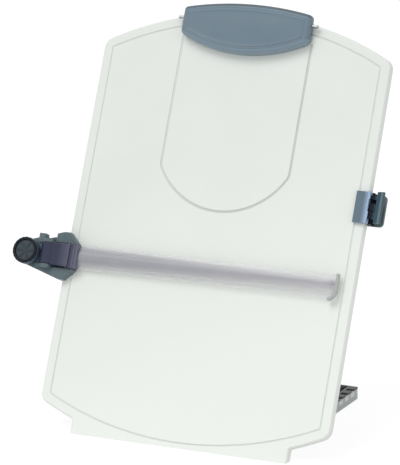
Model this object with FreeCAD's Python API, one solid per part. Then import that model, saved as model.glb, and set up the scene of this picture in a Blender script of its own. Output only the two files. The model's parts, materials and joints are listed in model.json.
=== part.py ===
"""Desk copy holder with a sliding line guide.

A moulded board leans back on a folding stand. A spring clip at its top edge holds the pages, a
line guide slides down its left edge and is locked by a knob, and a small spring clip slides on
its right edge. Behind it a notched base plate and a prop leg fold flat against its back.

Units are millimetres. Row frame: +X to the reader's right, +Y away from the reader, +Z up, with
the origin at the centre of the board's flat foot, on the desk.

Most pieces are drawn in the board frame: x to the right, t back from the board's front face and
s up the board from its foot. The prop leg is drawn in the leg frame: z runs from its hinge to
its foot, and y is its thickness, turned away from the board when the leg is folded. The base
plate is drawn in the base frame: y runs back from its hinge, and z is up.
"""
import FreeCAD
import Part
import math
import os

V = FreeCAD.Vector

# ---------------------------------------------------------------- stance
LEAN = 24.0               # the board leans back from the vertical, in degrees

# ---------------------------------------------------------------- clearances
RUN = 0.05                # radial running fit of a shaft or a screw in its hole
SLIDE = 0.3               # gap of a piece that slides or swings past another
PASS = 0.5                # gap of pieces that only pass each other
NEAR = 0.01               # tolerance when an edge is picked by its place
SOFT_R = 0.9              # rounding of the outer edges of the small mouldings

# ---------------------------------------------------------------- board
BOARD_W = 240.0           # overall width
BOARD_H = 340.0           # from the foot to the top of the top arc
TOP_RISE = 30.0           # rise of the arched top edge
BOTTOM_RISE = 27.5        # rise of the arched bottom edge
FOOT_CUT = 3.5            # how far the bottom arc would reach below the foot
FOOT_W = 180.0            # width of the straight foot tab
BOARD_T = 6.5             # depth of the rim
SKIN_T = 2.4              # thickness of the front skin
RIM_T = 2.4               # thickness of the rim wall
RIB_T = 1.6               # thickness of the ribs
CORNER_R = 9.0            # rounding of the four corners
TAB_R = 2.0               # rounding where the foot tab meets the bottom arc
EDGE_R = 1.6              # rounding of the front edge
FOOT_BAR = 5.0            # height of the solid bar along the foot
CHANNEL_W = 7.2           # width of the guide channel behind each side edge
CHANNEL_LOW = 34.0        # lower end of the guide channels
CHANNEL_HIGH = 302.0      # upper end of the guide channels
RIB_PITCH = 42.0          # spacing of the cross ribs
RIB_FIRST = 48.0          # height of the lowest cross rib
RIB_X = (-62.0, -12.0, 12.0, 62.0)    # places of the upright ribs
LINE_IN = 7.2             # distance of the border line from the edge
LINE_W = 1.3              # width of the border line
LINE_DEEP = 0.55          # depth of the border line and of the panel line
PANEL_W = 109.4           # width of the page rest that the panel line draws
PANEL_LINE_W = 2.0        # width of the panel line
PANEL_R = 62.0            # radius of its rounded lower end
PANEL_LOW = 182.2         # lowest point of the panel line
PANEL_CORNER = 10.0       # rounding between its sides and its lower end

# ---------------------------------------------------------------- page clip
CLIP_W = 106.8            # width of the cover
CLIP_H = 39.2             # height of the cover
CLIP_OVER = 5.4           # how far the cover stands above the board's top edge
CLIP_LOW_RISE = 12.6      # rise of the cover's lower arc
CLIP_PROUD = 9.6          # how far the cover stands in front of the board
CLIP_WALL = 2.0           # wall of the cover
CLIP_ROUND = 3.5          # rounding of the cover's front edge
CLIP_CORNER = 3.0         # rounding of the cover's corners
CLIP_AXIS_DOWN = 8.0      # height of the board's crown above the clip's pin
CLIP_AXIS_N = 4.4         # distance of the pin in front of the board
CLIP_BACK_TOP = 3.4       # how far the cover's rim stays off the board at its top
CLIP_PIN_R = 1.4          # radius of the clip's pin
CLIP_PIN_OUT = 5.0        # how far the pin stands out of each end of the cover
CLIP_EAR_R = 2.8          # radius of the bracket's ears
CLIP_EAR_X = 34.0         # inner face of the bracket's ears
CLIP_EAR_T = 3.0          # thickness of the bracket's ears
BRACKET_T = 1.4           # thickness of the bracket's plate
BRACKET_UNDER = 13.0      # reach of the bracket's plate below the pin
BRACKET_OVER = 3.0        # reach of the bracket's plate above the pin
CLIP_SCREW_X = 24.0       # the bracket's screws, left and right of the middle
CLIP_SCREW_UNDER = 7.0    # the bracket's screws, below the pin
SPRING_HALF = 7.0         # half width of the clip's coil spring
SPRING_WIRE = 0.5         # radius of the spring wire
SPRING_LEG = 0.4          # radius of the spring's straight legs
JAW_PAD_W = 78.0          # width of the rubber strip in the clip's jaw
JAW_PAD_T = 2.6           # thickness of the strip, up the board
JAW_PAD_DEEP = 5.0        # depth of the strip

# ---------------------------------------------------------------- screws
SCREW_R = 1.5             # radius of the small screws
SCREW_HEAD_R = 2.8        # radius of their heads
SCREW_HEAD_T = 1.2        # height of their heads

# ---------------------------------------------------------------- line guide
GUIDE_S = 135.5           # height of the guide's middle on the board
SHELL_OUT = 37.0          # how far the carriage reaches past the board's edge
SHELL_IN = 11.0           # how far its front lip reaches over the board
SHELL_FRONT = 6.0         # front face of the carriage in front of the board
SHELL_LIP_T = 1.8         # thickness of the lip that lies over the board
SHELL_END_HALF = 5.5      # half height of the carriage at its outer end
SHELL_KNOB_HALF = 9.5     # half height beside the knob
SHELL_WIDE_HALF = 18.6    # half height at the board's edge
SHELL_TIP_HALF = 10.5     # half height at the tip of the lip
SHELL_TAPER = 4.5         # length of the taper from the outer end to the knob
SHELL_WIDE_OUT = 2.0      # the widest part starts this far outside the board's edge
SHELL_WIDE_IN = 3.0       # the widest part ends this far inside the board's edge
SHELL_SPLIT_T = 3.05      # depth of the clamping slit behind the board's front
SHELL_SLIT = 0.5          # width of the clamping slit
SHELL_BACK_T = 12.5       # back of the carriage behind the board's front
REAR_HALF = 15.0          # half height of the rear shell
PAD_T = 1.0               # thickness of the felt pads
REAR_LIP_T = 2.4          # thickness of the rear lips
TONGUE_HALF = 11.0        # half height of the tongue in the channel
PIVOT_OUT = 12.8          # the guide's hinge pin, outside the board's edge
PIVOT_N = 7.5             # the hinge pin, in front of the board
BARREL_R = 5.2            # radius of the holder's hinge barrel
BARREL_HALF = 8.2         # half height of the barrel
LUG_R = 4.6               # radius of the carriage's hinge lugs
LUG_T = 3.0               # thickness of the lugs
LUG_REACH = 9.4           # how far the lugs' roots reach outward from the pin
STOP_W = 5.2              # width of the stop block on the upper lug's root
STOP_UP = 4.0             # height of that block above the lug
RECESS_HALF = 5.2         # half width of the recess beside each lug
PIVOT_PIN_R = 1.5         # radius of the hinge pin
ARM_LOW_N = 4.0           # back face of the holder's arm
ARM_HIGH_N = 10.5         # front face of the holder's arm
ARM_HALF = 9.0            # half height of the arm
SOCKET_OUT = 4.0          # start of the bar's socket inside the board's edge
SOCKET_IN = 13.4          # end of the bar's socket inside the board's edge
SOCKET_WALL = 1.4         # wall of the socket
TANG_HALF = 7.8           # half width of the bar's end in the socket
SOCKET_RIBS = 4           # raised ribs round the socket
SOCKET_RIB_W = 1.3        # width of each rib
SOCKET_RIB_UP = 0.5       # height of each rib
BAR_W = 18.8              # width of the guide bar
BAR_BACK_N = 3.4          # back face of the bar
BAR_EDGE_T = 1.2          # thickness of the bar's clear edges
BAR_T = 3.2               # thickness of the bar's middle
BAR_CORE_W = 9.6          # width of the bar's thick middle
BAR_CORE_UP = 0.8         # the middle lies this far above the bar's centre line
BAR_END_IN = 12.7         # right end of the bar inside the board's right edge
END_CAP_T = 2.2           # thickness of the cap on the bar's right end
BAR_CORNER_R = 5.5        # rounding of the bar's lower right corner
END_CAP_FOOT = 4.5        # how far the cap follows the bar's lower edge
SOCKET_DEEP = 7.5         # how deep the bar sits in its socket

# ---------------------------------------------------------------- knob
KNOB_OUT = 29.7           # the knob's axis outside the board's edge
KNOB_R = 10.5             # radius of the knob
KNOB_FRONT = 14.2         # front of the knob in front of the board
KNOB_FLUTES = 20          # flutes round the rim
FLUTE_R = 1.0             # radius of each flute
DIAL_R = 8.0              # radius of the recess in the knob's face
DIAL_DEEP = 1.8           # depth of the recess
CAP_T = 1.0               # thickness of the cap in the recess
CAP_BARS = 3              # raised bars across the cap
CAP_BAR_W = 2.0           # width of each bar
CAP_BAR_END = 1.5         # gap between the bars' ends and the recess's wall
STUD_R = 2.5              # radius of the clamp stud
NUT_FLAT = 8.0            # width across the flats of the clamp nut
NUT_T = 4.0               # thickness of the clamp nut
WASHER_R = 5.2            # radius of the washer under the knob
WASHER_T = 0.5            # thickness of the washer
STUD_SINK = 3.6           # how far the stud stops below the knob's front
SHELL_SCREW_OUT = 21.0    # the screws through the carriage, outside the board's edge
SHELL_SCREW_UP = 8.0      # the screws above and below the guide's middle
SHELL_SCREW_REACH = 2.5   # depth of the screws in the front shell

# ---------------------------------------------------------------- side clip
SIDE_S = 197.4            # height of the side clip's middle on the board
SIDE_HALF = 12.0          # half height of the side clip
SIDE_WALL = 4.0           # wall of its body outside the board's edge
SIDE_WING = 14.5          # reach of its finger wing past the board's edge
SIDE_PIN_OUT = 5.6        # its hinge pin outside the board's edge
SIDE_PIN_N = 3.4          # its hinge pin in front of the board
SIDE_PIN_R = 1.2          # radius of its hinge pin
SIDE_BARREL_R = 2.6       # radius of its hinge barrels
SIDE_BARREL_HALF = 8.8    # half height of its hinge
SIDE_LUG_HALF = 2.9       # half height of the body's hinge lug
SIDE_COIL_T = 2.4         # width of its coil spring
JAW_IN = 9.0              # reach of the jaw plate over the board
JAW_T = 2.0               # thickness of the jaw plate
JAW_BACK_N = 0.9          # back face of the jaw plate
JAW_GRIP_T = 0.5          # thickness of the grip sheet behind the jaw plate
JAW_RIDGE_W = 3.2         # width of the ridge beside the hinge
JAW_RIDGE_N = 6.0         # front of the ridge
WING_T = 2.6              # thickness of the finger wing
WING_FRONT = 7.4          # front of the finger wing
BACK_WING_T = 2.6         # thickness of the body's own wing
BACK_WING = 11.6          # reach of that wing past the board's edge
WING_CORNER_R = 3.0       # rounding of that wing's corners
WING_ROOT = 1.5           # how far the finger wing reaches into the hinge barrels

# ---------------------------------------------------------------- folding stand
HINGE_OFF = 4.0           # the stand's hinges behind the board's back
HINGE_R = 3.5             # radius of the hinge knuckles
ROD_R = 1.5               # radius of the hinge rods
BASE_W = 152.0            # width of the base plate with its rails
BASE_H = 10.6             # height of the base plate above the desk
BASE_LEN = 159.5          # from the base's hinge to its rear edge
BASE_START = 7.0          # from the hinge to the front wall
BASE_LIFT = 0.6           # the skirt's height above the desk
BASE_WALL = 2.0           # wall of the base plate
DECK_LOW = 3.6            # underside of the deck above the desk
DECK_T = 2.0              # thickness of the deck
RAIL_W = 5.5              # width of each notched rail
NOTCH_PITCH = 12.0        # spacing of the notches
NOTCH_DEEP = 3.2          # depth of the notches
NOTCH_W = 5.0             # width of the notches at the top
NOTCH_FRONT_RUN = 1.0     # length of the slope at a notch's front
NOTCH_BACK_RUN = 2.0      # and of the flatter one at its back
NOTCH_COUNT = 7           # most notches along each rail
NOTCH_BEHIND = 2          # notches behind the one that the leg stands in
MAT_EDGE = 2.0            # gap between the mat and the walls
MAT_SHEET = 1.2           # thickness of the mat between its ribs
MAT_RIB_W = 2.0           # width of the mat's ribs
FOOT_PAD_R = 6.0          # radius of the rubber feet
FOOT_PAD_SIDE = 10.0      # the feet's middles, in from the side walls
FOOT_PAD_IN = 14.0        # the feet's middles, in from the front and rear walls
FOOT_STEM_R = 2.0         # radius of the feet's stems
FOOT_STEM_T = 1.6         # height of the stems above the deck's underside
LUG_X = (-60.0, -54.0), (-4.0, 4.0), (54.0, 60.0)     # the board's hinge lugs
KNUCKLE_W = 7.6           # width of the base's knuckles
PROP_REACH = 124.9        # from the base's hinge back to the leg's foot
GRIP_R = 3.7              # radius of the leg's rubber grips
FOOT_ROD_R = 2.0          # radius of the rod through the leg's foot
FOOT_ROD_OVER = 1.5       # how far that rod and its grips reach over each rail
LEG_T = 5.0               # thickness of the prop leg
LEG_SKIN = 2.0            # thickness of its skin
LEG_TOP_HALF = 33.7       # half width of the leg at its hinge
LEG_FOOT_HALF = 52.0      # half width of the leg at its foot
LEG_KNUCKLE = 9.7         # width of the leg's knuckles
LEG_RIB_T = 1.8           # thickness of the leg's ribs
LEG_RIB_PITCH = 26.0      # spacing of the leg's cross ribs
EAR_T = 3.7               # thickness of the prop bracket's ears
SEAT_T = 4.4              # depth of the seats for the prop brackets
PROP_PLATE_T = 2.0        # thickness of the prop brackets' plates
PROP_PLATE_UP = 13.0      # reach of those plates above and below the hinge
PROP_SCREW_UP = 9.0       # their screws above and below the hinge

# ---------------------------------------------------------------- derived places
LEAN_SIN = math.sin(math.radians(LEAN))
LEAN_COS = math.cos(math.radians(LEAN))
EDGE_X = BOARD_W / 2
TOP_R = (EDGE_X ** 2 + TOP_RISE ** 2) / (2 * TOP_RISE)
TOP_CENTRE = BOARD_H - TOP_R
BOTTOM_R = (EDGE_X ** 2 + BOTTOM_RISE ** 2) / (2 * BOTTOM_RISE)
BOTTOM_CENTRE = BOTTOM_R - FOOT_CUT
FOOT_DEPTH = BOARD_T / LEAN_COS

CLIP_AXIS_S = BOARD_H - CLIP_AXIS_DOWN
BRACKET_LOW = CLIP_AXIS_S - BRACKET_UNDER
BRACKET_HIGH = CLIP_AXIS_S + BRACKET_OVER
CLIP_SCREW_S = CLIP_AXIS_S - CLIP_SCREW_UNDER

HINGE_T = BOARD_T + HINGE_OFF
BASE_HINGE_Z = BASE_H + SLIDE + GRIP_R
BASE_HINGE_S = (BASE_HINGE_Z + HINGE_T * LEAN_SIN) / LEAN_COS
BASE_HINGE_Y = BASE_HINGE_S * LEAN_SIN + HINGE_T * LEAN_COS - FOOT_DEPTH / 2
FOOT_ROD_HALF = BASE_W / 2 - RAIL_W + FOOT_ROD_OVER
PROP_LEN = PROP_REACH / (2 * LEAN_SIN)
PROP_HINGE_S = BASE_HINGE_S + PROP_LEN

BOARD_PLACE = FreeCAD.Placement(V(0, -FOOT_DEPTH / 2, 0),
                                FreeCAD.Rotation(V(1, 0, 0), -LEAN))
LEG_PLACE = BOARD_PLACE.multiply(
    FreeCAD.Placement(V(0, HINGE_T, PROP_HINGE_S),
                      FreeCAD.Rotation(V(1, 0, 0), -(180 - 2 * LEAN))))
BASE_PLACE = FreeCAD.Placement(V(0, BASE_HINGE_Y, BASE_HINGE_Z), FreeCAD.Rotation())


# ---------------------------------------------------------------- shape helpers
def box(x, y, z):
    """Box from three (low, high) pairs."""
    return Part.makeBox(x[1] - x[0], y[1] - y[0], z[1] - z[0], V(x[0], y[0], z[0]))


def rod_x(x, y, z, radius):
    """Cylinder along X from x[0] to x[1]."""
    return Part.makeCylinder(radius, x[1] - x[0], V(x[0], y, z), V(1, 0, 0))


def rod_y(x, y, z, radius):
    """Cylinder along Y from y[0] to y[1]."""
    return Part.makeCylinder(radius, y[1] - y[0], V(x, y[0], z), V(0, 1, 0))


def rod_z(x, y, z, radius):
    """Cylinder along Z from z[0] to z[1]."""
    return Part.makeCylinder(radius, z[1] - z[0], V(x, y, z[0]), V(0, 0, 1))


def prism_y(points, y):
    """Polygon of (x, z) points, filled from y[0] to y[1]."""
    wire = Part.makePolygon([V(px, y[0], pz) for px, pz in points + points[:1]])
    return Part.Face(wire).extrude(V(0, y[1] - y[0], 0))


def prism_x(points, x):
    """Polygon of (y, z) points, filled from x[0] to x[1]."""
    wire = Part.makePolygon([V(x[0], py, pz) for py, pz in points + points[:1]])
    return Part.Face(wire).extrude(V(x[1] - x[0], 0, 0))


def prism_z(points, z):
    """Polygon of (x, y) points, filled from z[0] to z[1]."""
    wire = Part.makePolygon([V(px, py, z[0]) for px, py in points + points[:1]])
    return Part.Face(wire).extrude(V(0, 0, z[1] - z[0]))


def join(shapes):
    """One solid from shapes that overlap or touch."""
    first, rest = shapes[0], shapes[1:]
    return first.fuse(rest).removeSplitter() if rest else first


def group(shapes):
    """Separate solids kept as one node."""
    return Part.makeCompound(shapes)


def mirrored(shape):
    """The same shape on the other side of the board's middle."""
    return shape.mirror(V(0, 0, 0), V(1, 0, 0))


def fillet(shape, radius, wanted):
    """Round the edges that wanted(edge) picks."""
    edges = [edge for edge in shape.Edges if wanted(edge)]
    return shape.makeFillet(radius, edges)


def runs_along(edge, axis):
    """True for a straight edge parallel to axis."""
    if not isinstance(edge.Curve, Part.Line):
        return False
    return abs(edge.Curve.Direction.dot(axis)) > 0.999


def lies_at_y(edge, y):
    """True for an edge in the plane at depth y."""
    return all(abs(point.y - y) < NEAR for point in edge.discretize(5))


def arc_s(x, centre, radius, side):
    """Height of an arc at x: side is +1 above its centre and -1 below."""
    return centre + side * math.sqrt(radius ** 2 - x ** 2)


# ---------------------------------------------------------------- board
def shield(inset, t):
    """Board outline without its foot tab, drawn in by inset and filled from t[0] to t[1]."""
    half = EDGE_X - inset
    top, bottom = TOP_R - inset, BOTTOM_R - inset
    high = arc_s(half, TOP_CENTRE, top, 1)
    low = arc_s(half, BOTTOM_CENTRE, bottom, -1)
    left_low, left_high = V(-half, t[0], low), V(-half, t[0], high)
    right_low, right_high = V(half, t[0], low), V(half, t[0], high)
    wire = Part.Wire([
        Part.LineSegment(left_low, left_high).toShape(),
        Part.Arc(left_high, V(0, t[0], TOP_CENTRE + top), right_high).toShape(),
        Part.LineSegment(right_high, right_low).toShape(),
        Part.Arc(right_low, V(0, t[0], BOTTOM_CENTRE - bottom), left_low).toShape()])
    plate = Part.Face(wire).extrude(V(0, t[1] - t[0], 0))
    return fillet(plate, max(CORNER_R - inset, 1.0), lambda edge: runs_along(edge, V(0, 1, 0)))


def page_panel(inset, t):
    """Tongue-shaped page rest under the clip, drawn in by inset."""
    half = PANEL_W / 2 - inset
    radius = PANEL_R - inset
    centre = PANEL_LOW + PANEL_R
    low = arc_s(half, centre, radius, -1)
    high = BRACKET_LOW
    points = [V(-half, t[0], high), V(-half, t[0], low), V(half, t[0], low), V(half, t[0], high)]
    wire = Part.Wire([
        Part.LineSegment(points[0], points[1]).toShape(),
        Part.Arc(points[1], V(0, t[0], centre - radius), points[2]).toShape(),
        Part.LineSegment(points[2], points[3]).toShape(),
        Part.LineSegment(points[3], points[0]).toShape()])
    plate = Part.Face(wire).extrude(V(0, t[1] - t[0], 0))
    return fillet(plate, PANEL_CORNER - inset,
                  lambda edge: runs_along(edge, V(0, 1, 0)) and edge.CenterOfMass.z < high - 1)


def below_desk():
    """Everything under the desk's surface, in the board frame."""
    ground = box((-BOARD_W, BOARD_W), (-BOARD_W, BOARD_W), (-BOARD_W, 0))
    ground.Placement = BOARD_PLACE.inverse()
    return ground


def board_ribs():
    """Upright and cross ribs, the walls of the guide channels and the solid foot bar."""
    depth = (SKIN_T, BOARD_T)
    channel_x = EDGE_X - RIM_T - CHANNEL_W
    ribs = [box((-EDGE_X, EDGE_X), depth, (-FOOT_CUT, FOOT_BAR))]
    for x in RIB_X:
        ribs.append(box((x - RIB_T / 2, x + RIB_T / 2), depth, (0, BOARD_H)))
    height = RIB_FIRST
    while height < CHANNEL_HIGH:
        ribs.append(box((-channel_x, channel_x), depth, (height, height + RIB_T)))
        height += RIB_PITCH
    for side in (-1, 1):
        wall = sorted((side * channel_x, side * (channel_x - RIB_T)))
        ribs.append(box(wall, depth, (0, BOARD_H)))
        end = sorted((side * channel_x, side * EDGE_X))
        ribs.append(box(end, depth, (CHANNEL_LOW - RIB_T, CHANNEL_LOW)))
        ribs.append(box(end, depth, (CHANNEL_HIGH, CHANNEL_HIGH + RIB_T)))
    return ribs


def base_lugs():
    """The board's knuckles for the base plate's hinge rod, with a solid root behind each."""
    lugs = []
    for low, high in LUG_X:
        lugs.append(rod_x((low, high), HINGE_T, BASE_HINGE_S, HINGE_R))
        lugs.append(box((low, high), (SKIN_T, HINGE_T),
                        (BASE_HINGE_S - HINGE_R, BASE_HINGE_S + HINGE_R)))
        lugs.append(box((low - RIB_T, high + RIB_T), (SKIN_T, BOARD_T),
                        (-FOOT_CUT, BASE_HINGE_S + HINGE_R + RIB_T)))
    return lugs


def prop_seat_x():
    """Left and right limits of the right-hand seat for a prop bracket."""
    return (LEG_TOP_HALF - LEG_KNUCKLE - SLIDE - EAR_T - RIB_T,
            LEG_TOP_HALF + SLIDE + EAR_T + RIB_T)


def prop_screw_places():
    """(x, s) of the screws in the prop brackets."""
    x = LEG_TOP_HALF - LEG_KNUCKLE / 2
    return [(side * x, PROP_HINGE_S + up)
            for side in (-1, 1) for up in (-PROP_SCREW_UP, PROP_SCREW_UP)]


def board_panel():
    plate = shield(0, (0, BOARD_T))
    tab_top = arc_s(FOOT_W / 2, BOTTOM_CENTRE, BOTTOM_R, -1)
    tab = box((-FOOT_W / 2, FOOT_W / 2), (0, BOARD_T), (-2 * FOOT_CUT, tab_top + TAB_R))
    body = join([plate, tab])
    body = fillet(body, TAB_R, lambda edge: runs_along(edge, V(0, 1, 0))
                  and abs(abs(edge.CenterOfMass.x) - FOOT_W / 2) < NEAR
                  and abs(edge.CenterOfMass.z - tab_top) < NEAR)
    body = fillet(body, EDGE_R, lambda edge: lies_at_y(edge, 0)
                  and edge.CenterOfMass.z > -FOOT_CUT)
    seat_x = prop_seat_x()
    seat_s = (PROP_HINGE_S - PROP_PLATE_UP - RIB_T, PROP_HINGE_S + PROP_PLATE_UP + RIB_T)
    seats = [box(seat_x, (SKIN_T, SEAT_T), seat_s)]
    seats.append(mirrored(seats[0]))
    clear = box(seat_x, (SEAT_T, BOARD_T + 1), seat_s)
    bosses = [rod_y(side * CLIP_SCREW_X, (SKIN_T, BOARD_T), CLIP_SCREW_S,
                    SCREW_HEAD_R + RIB_T) for side in (-1, 1)]
    hollow = shield(RIM_T, (SKIN_T, BOARD_T + 1))
    hollow = hollow.cut(board_ribs() + bosses + seats + base_lugs())
    body = body.cut([hollow])
    body = body.fuse(base_lugs()).removeSplitter()
    holes = [rod_y(side * CLIP_SCREW_X, (-1, BOARD_T - RIB_T), CLIP_SCREW_S, SCREW_R + RUN)
             for side in (-1, 1)]
    holes += [rod_y(x, (SKIN_T / 2, BOARD_T), s, SCREW_R + RUN) for x, s in prop_screw_places()]
    holes.append(rod_x((-EDGE_X, EDGE_X), HINGE_T, BASE_HINGE_S, ROD_R + RUN))
    front = (-1, LINE_DEEP)
    border = shield(LINE_IN, front).cut(shield(LINE_IN + LINE_W, front))
    panel = page_panel(0, front).cut(page_panel(PANEL_LINE_W, front))
    return body.cut([clear, mirrored(clear), below_desk(), border, panel] + holes)


# ---------------------------------------------------------------- page clip
def clip_outline(inset, t):
    """The clip cover's outline, drawn in by inset."""
    half = CLIP_W / 2 - inset
    top_r = TOP_R + CLIP_OVER - inset
    low_r = ((CLIP_W / 2) ** 2 + CLIP_LOW_RISE ** 2) / (2 * CLIP_LOW_RISE)
    low_centre = BOARD_H + CLIP_OVER - CLIP_H + low_r
    high = arc_s(half, TOP_CENTRE, top_r, 1)
    low = arc_s(half, low_centre, low_r - inset, -1)
    points = [V(-half, t[0], low), V(-half, t[0], high), V(half, t[0], high), V(half, t[0], low)]
    wire = Part.Wire([
        Part.LineSegment(points[0], points[1]).toShape(),
        Part.Arc(points[1], V(0, t[0], TOP_CENTRE + top_r), points[2]).toShape(),
        Part.LineSegment(points[2], points[3]).toShape(),
        Part.Arc(points[3], V(0, t[0], low_centre - low_r + inset), points[0]).toShape()])
    plate = Part.Face(wire).extrude(V(0, t[1] - t[0], 0))
    return fillet(plate, max(CLIP_CORNER - inset, 1.0), lambda edge: runs_along(edge, V(0, 1, 0)))


def behind_clip_rim():
    """Space behind the cover's sloping rim."""
    low, high = BOARD_H + CLIP_OVER - CLIP_H, BOARD_H + CLIP_OVER
    points = [(-SLIDE, low), (-CLIP_BACK_TOP, high), (CLIP_PROUD, high), (CLIP_PROUD, low)]
    return prism_x(points, (-CLIP_W, CLIP_W))


def clip_cover():
    shell = clip_outline(0, (-CLIP_PROUD, 0))
    shell = fillet(shell, CLIP_ROUND, lambda edge: lies_at_y(edge, -CLIP_PROUD))
    inside = clip_outline(CLIP_WALL, (-CLIP_PROUD + CLIP_WALL, 1))
    inside = fillet(inside, CLIP_ROUND - CLIP_WALL,
                    lambda edge: lies_at_y(edge, -CLIP_PROUD + CLIP_WALL))
    shell = shell.cut([inside, behind_clip_rim()])
    boss_low = CLIP_EAR_X + CLIP_EAR_T + SLIDE
    bosses = []
    for side in (-1, 1):
        x = sorted((side * boss_low, side * (boss_low + CLIP_EAR_T)))
        bosses.append(rod_x(x, -CLIP_AXIS_N, CLIP_AXIS_S, CLIP_EAR_R))
        bosses.append(box(x, (-CLIP_PROUD + CLIP_WALL / 2, -CLIP_AXIS_N),
                          (CLIP_AXIS_S - CLIP_EAR_R, CLIP_AXIS_S + CLIP_EAR_R)))
    shell = join([shell] + bosses)
    hole = rod_x((-CLIP_W, CLIP_W), -CLIP_AXIS_N, CLIP_AXIS_S, CLIP_PIN_R + RUN)
    return shell.cut([hole])


def clip_bracket():
    ear_out = CLIP_EAR_X + CLIP_EAR_T
    parts = [box((-ear_out, ear_out), (-BRACKET_T, 0), (BRACKET_LOW, BRACKET_HIGH))]
    for side in (-1, 1):
        x = sorted((side * CLIP_EAR_X, side * ear_out))
        parts.append(rod_x(x, -CLIP_AXIS_N, CLIP_AXIS_S, CLIP_EAR_R))
        parts.append(box(x, (-CLIP_AXIS_N, 0),
                         (CLIP_AXIS_S - CLIP_EAR_R, CLIP_AXIS_S + CLIP_EAR_R)))
    holes = [rod_x((-CLIP_W, CLIP_W), -CLIP_AXIS_N, CLIP_AXIS_S, CLIP_PIN_R + RUN)]
    holes += [rod_y(side * CLIP_SCREW_X, (-BRACKET_T, 0), CLIP_SCREW_S, SCREW_R + RUN)
              for side in (-1, 1)]
    return join(parts).cut(holes)


def clip_pin():
    reach = CLIP_W / 2 + CLIP_PIN_OUT
    return rod_x((-reach, reach), -CLIP_AXIS_N, CLIP_AXIS_S, CLIP_PIN_R)


def screw_y(x, s, head_t, tip_t):
    """Pan-head screw along Y: the head's underside is at head_t and the tip at tip_t."""
    outward = -1 if tip_t > head_t else 1
    shank = rod_y(x, sorted((head_t, tip_t)), s, SCREW_R)
    head = rod_y(x, sorted((head_t, head_t + outward * SCREW_HEAD_T)), s, SCREW_HEAD_R)
    return join([head, shank])


def clip_screws():
    return group([screw_y(side * CLIP_SCREW_X, CLIP_SCREW_S, -BRACKET_T, BOARD_T - 2 * RIB_T)
                  for side in (-1, 1)])


def clip_spring():
    """Coil round the pin, with one leg on the bracket and one under the cover's skin."""
    inner = CLIP_PIN_R + PASS
    outer = inner + 2 * SPRING_WIRE
    x = (-SPRING_HALF, SPRING_HALF)
    coil = rod_x(x, -CLIP_AXIS_N, CLIP_AXIS_S, outer)
    middle = inner + SPRING_WIRE
    back_leg = rod_z(-SPRING_HALF + SPRING_WIRE, -CLIP_AXIS_N + middle,
                     (BRACKET_LOW, CLIP_AXIS_S), SPRING_LEG)
    front_leg = rod_z(SPRING_HALF - SPRING_WIRE, -CLIP_AXIS_N - middle,
                      (BRACKET_LOW, CLIP_AXIS_S), SPRING_LEG)
    hole = rod_x((x[0] - 1, x[1] + 1), -CLIP_AXIS_N, CLIP_AXIS_S, inner)
    return join([coil, back_leg, front_leg]).cut([hole])


def clip_jaw_pad():
    """Rubber strip inside the cover's lower rim, which presses on the pages."""
    depth = (-JAW_PAD_DEEP, -SLIDE)
    strip = clip_outline(CLIP_WALL, depth).cut(clip_outline(CLIP_WALL + JAW_PAD_T, depth))
    low = BOARD_H + CLIP_OVER - CLIP_H
    strip = strip.common(box((-JAW_PAD_W / 2, JAW_PAD_W / 2), depth, (low, low + CLIP_H / 2)))
    return strip.cut([behind_clip_rim()])


# ---------------------------------------------------------------- carriage of the line guide
def shell_outline(t):
    """Seen from the front: wide at the board's edge, tapering to the knob and to the lip."""
    edge = -EDGE_X
    upper = [(edge - SHELL_OUT, SHELL_END_HALF), (edge - SHELL_OUT + SHELL_TAPER, SHELL_KNOB_HALF),
             (edge - SHELL_WIDE_OUT, SHELL_WIDE_HALF), (edge + SHELL_WIDE_IN, SHELL_WIDE_HALF),
             (edge + SHELL_IN, SHELL_TIP_HALF)]
    points = [(x, GUIDE_S + up) for x, up in upper]
    points += [(x, GUIDE_S - up) for x, up in reversed(upper)]
    return prism_y(points, t)


def pivot_x():
    return -EDGE_X - PIVOT_OUT


def knob_x():
    return -EDGE_X - KNOB_OUT


def shell_screw_places():
    """(x, s) of the screws that hold the two shells together."""
    x = -EDGE_X - SHELL_SCREW_OUT
    return [(x, GUIDE_S + up) for up in (-SHELL_SCREW_UP, SHELL_SCREW_UP)]


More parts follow.
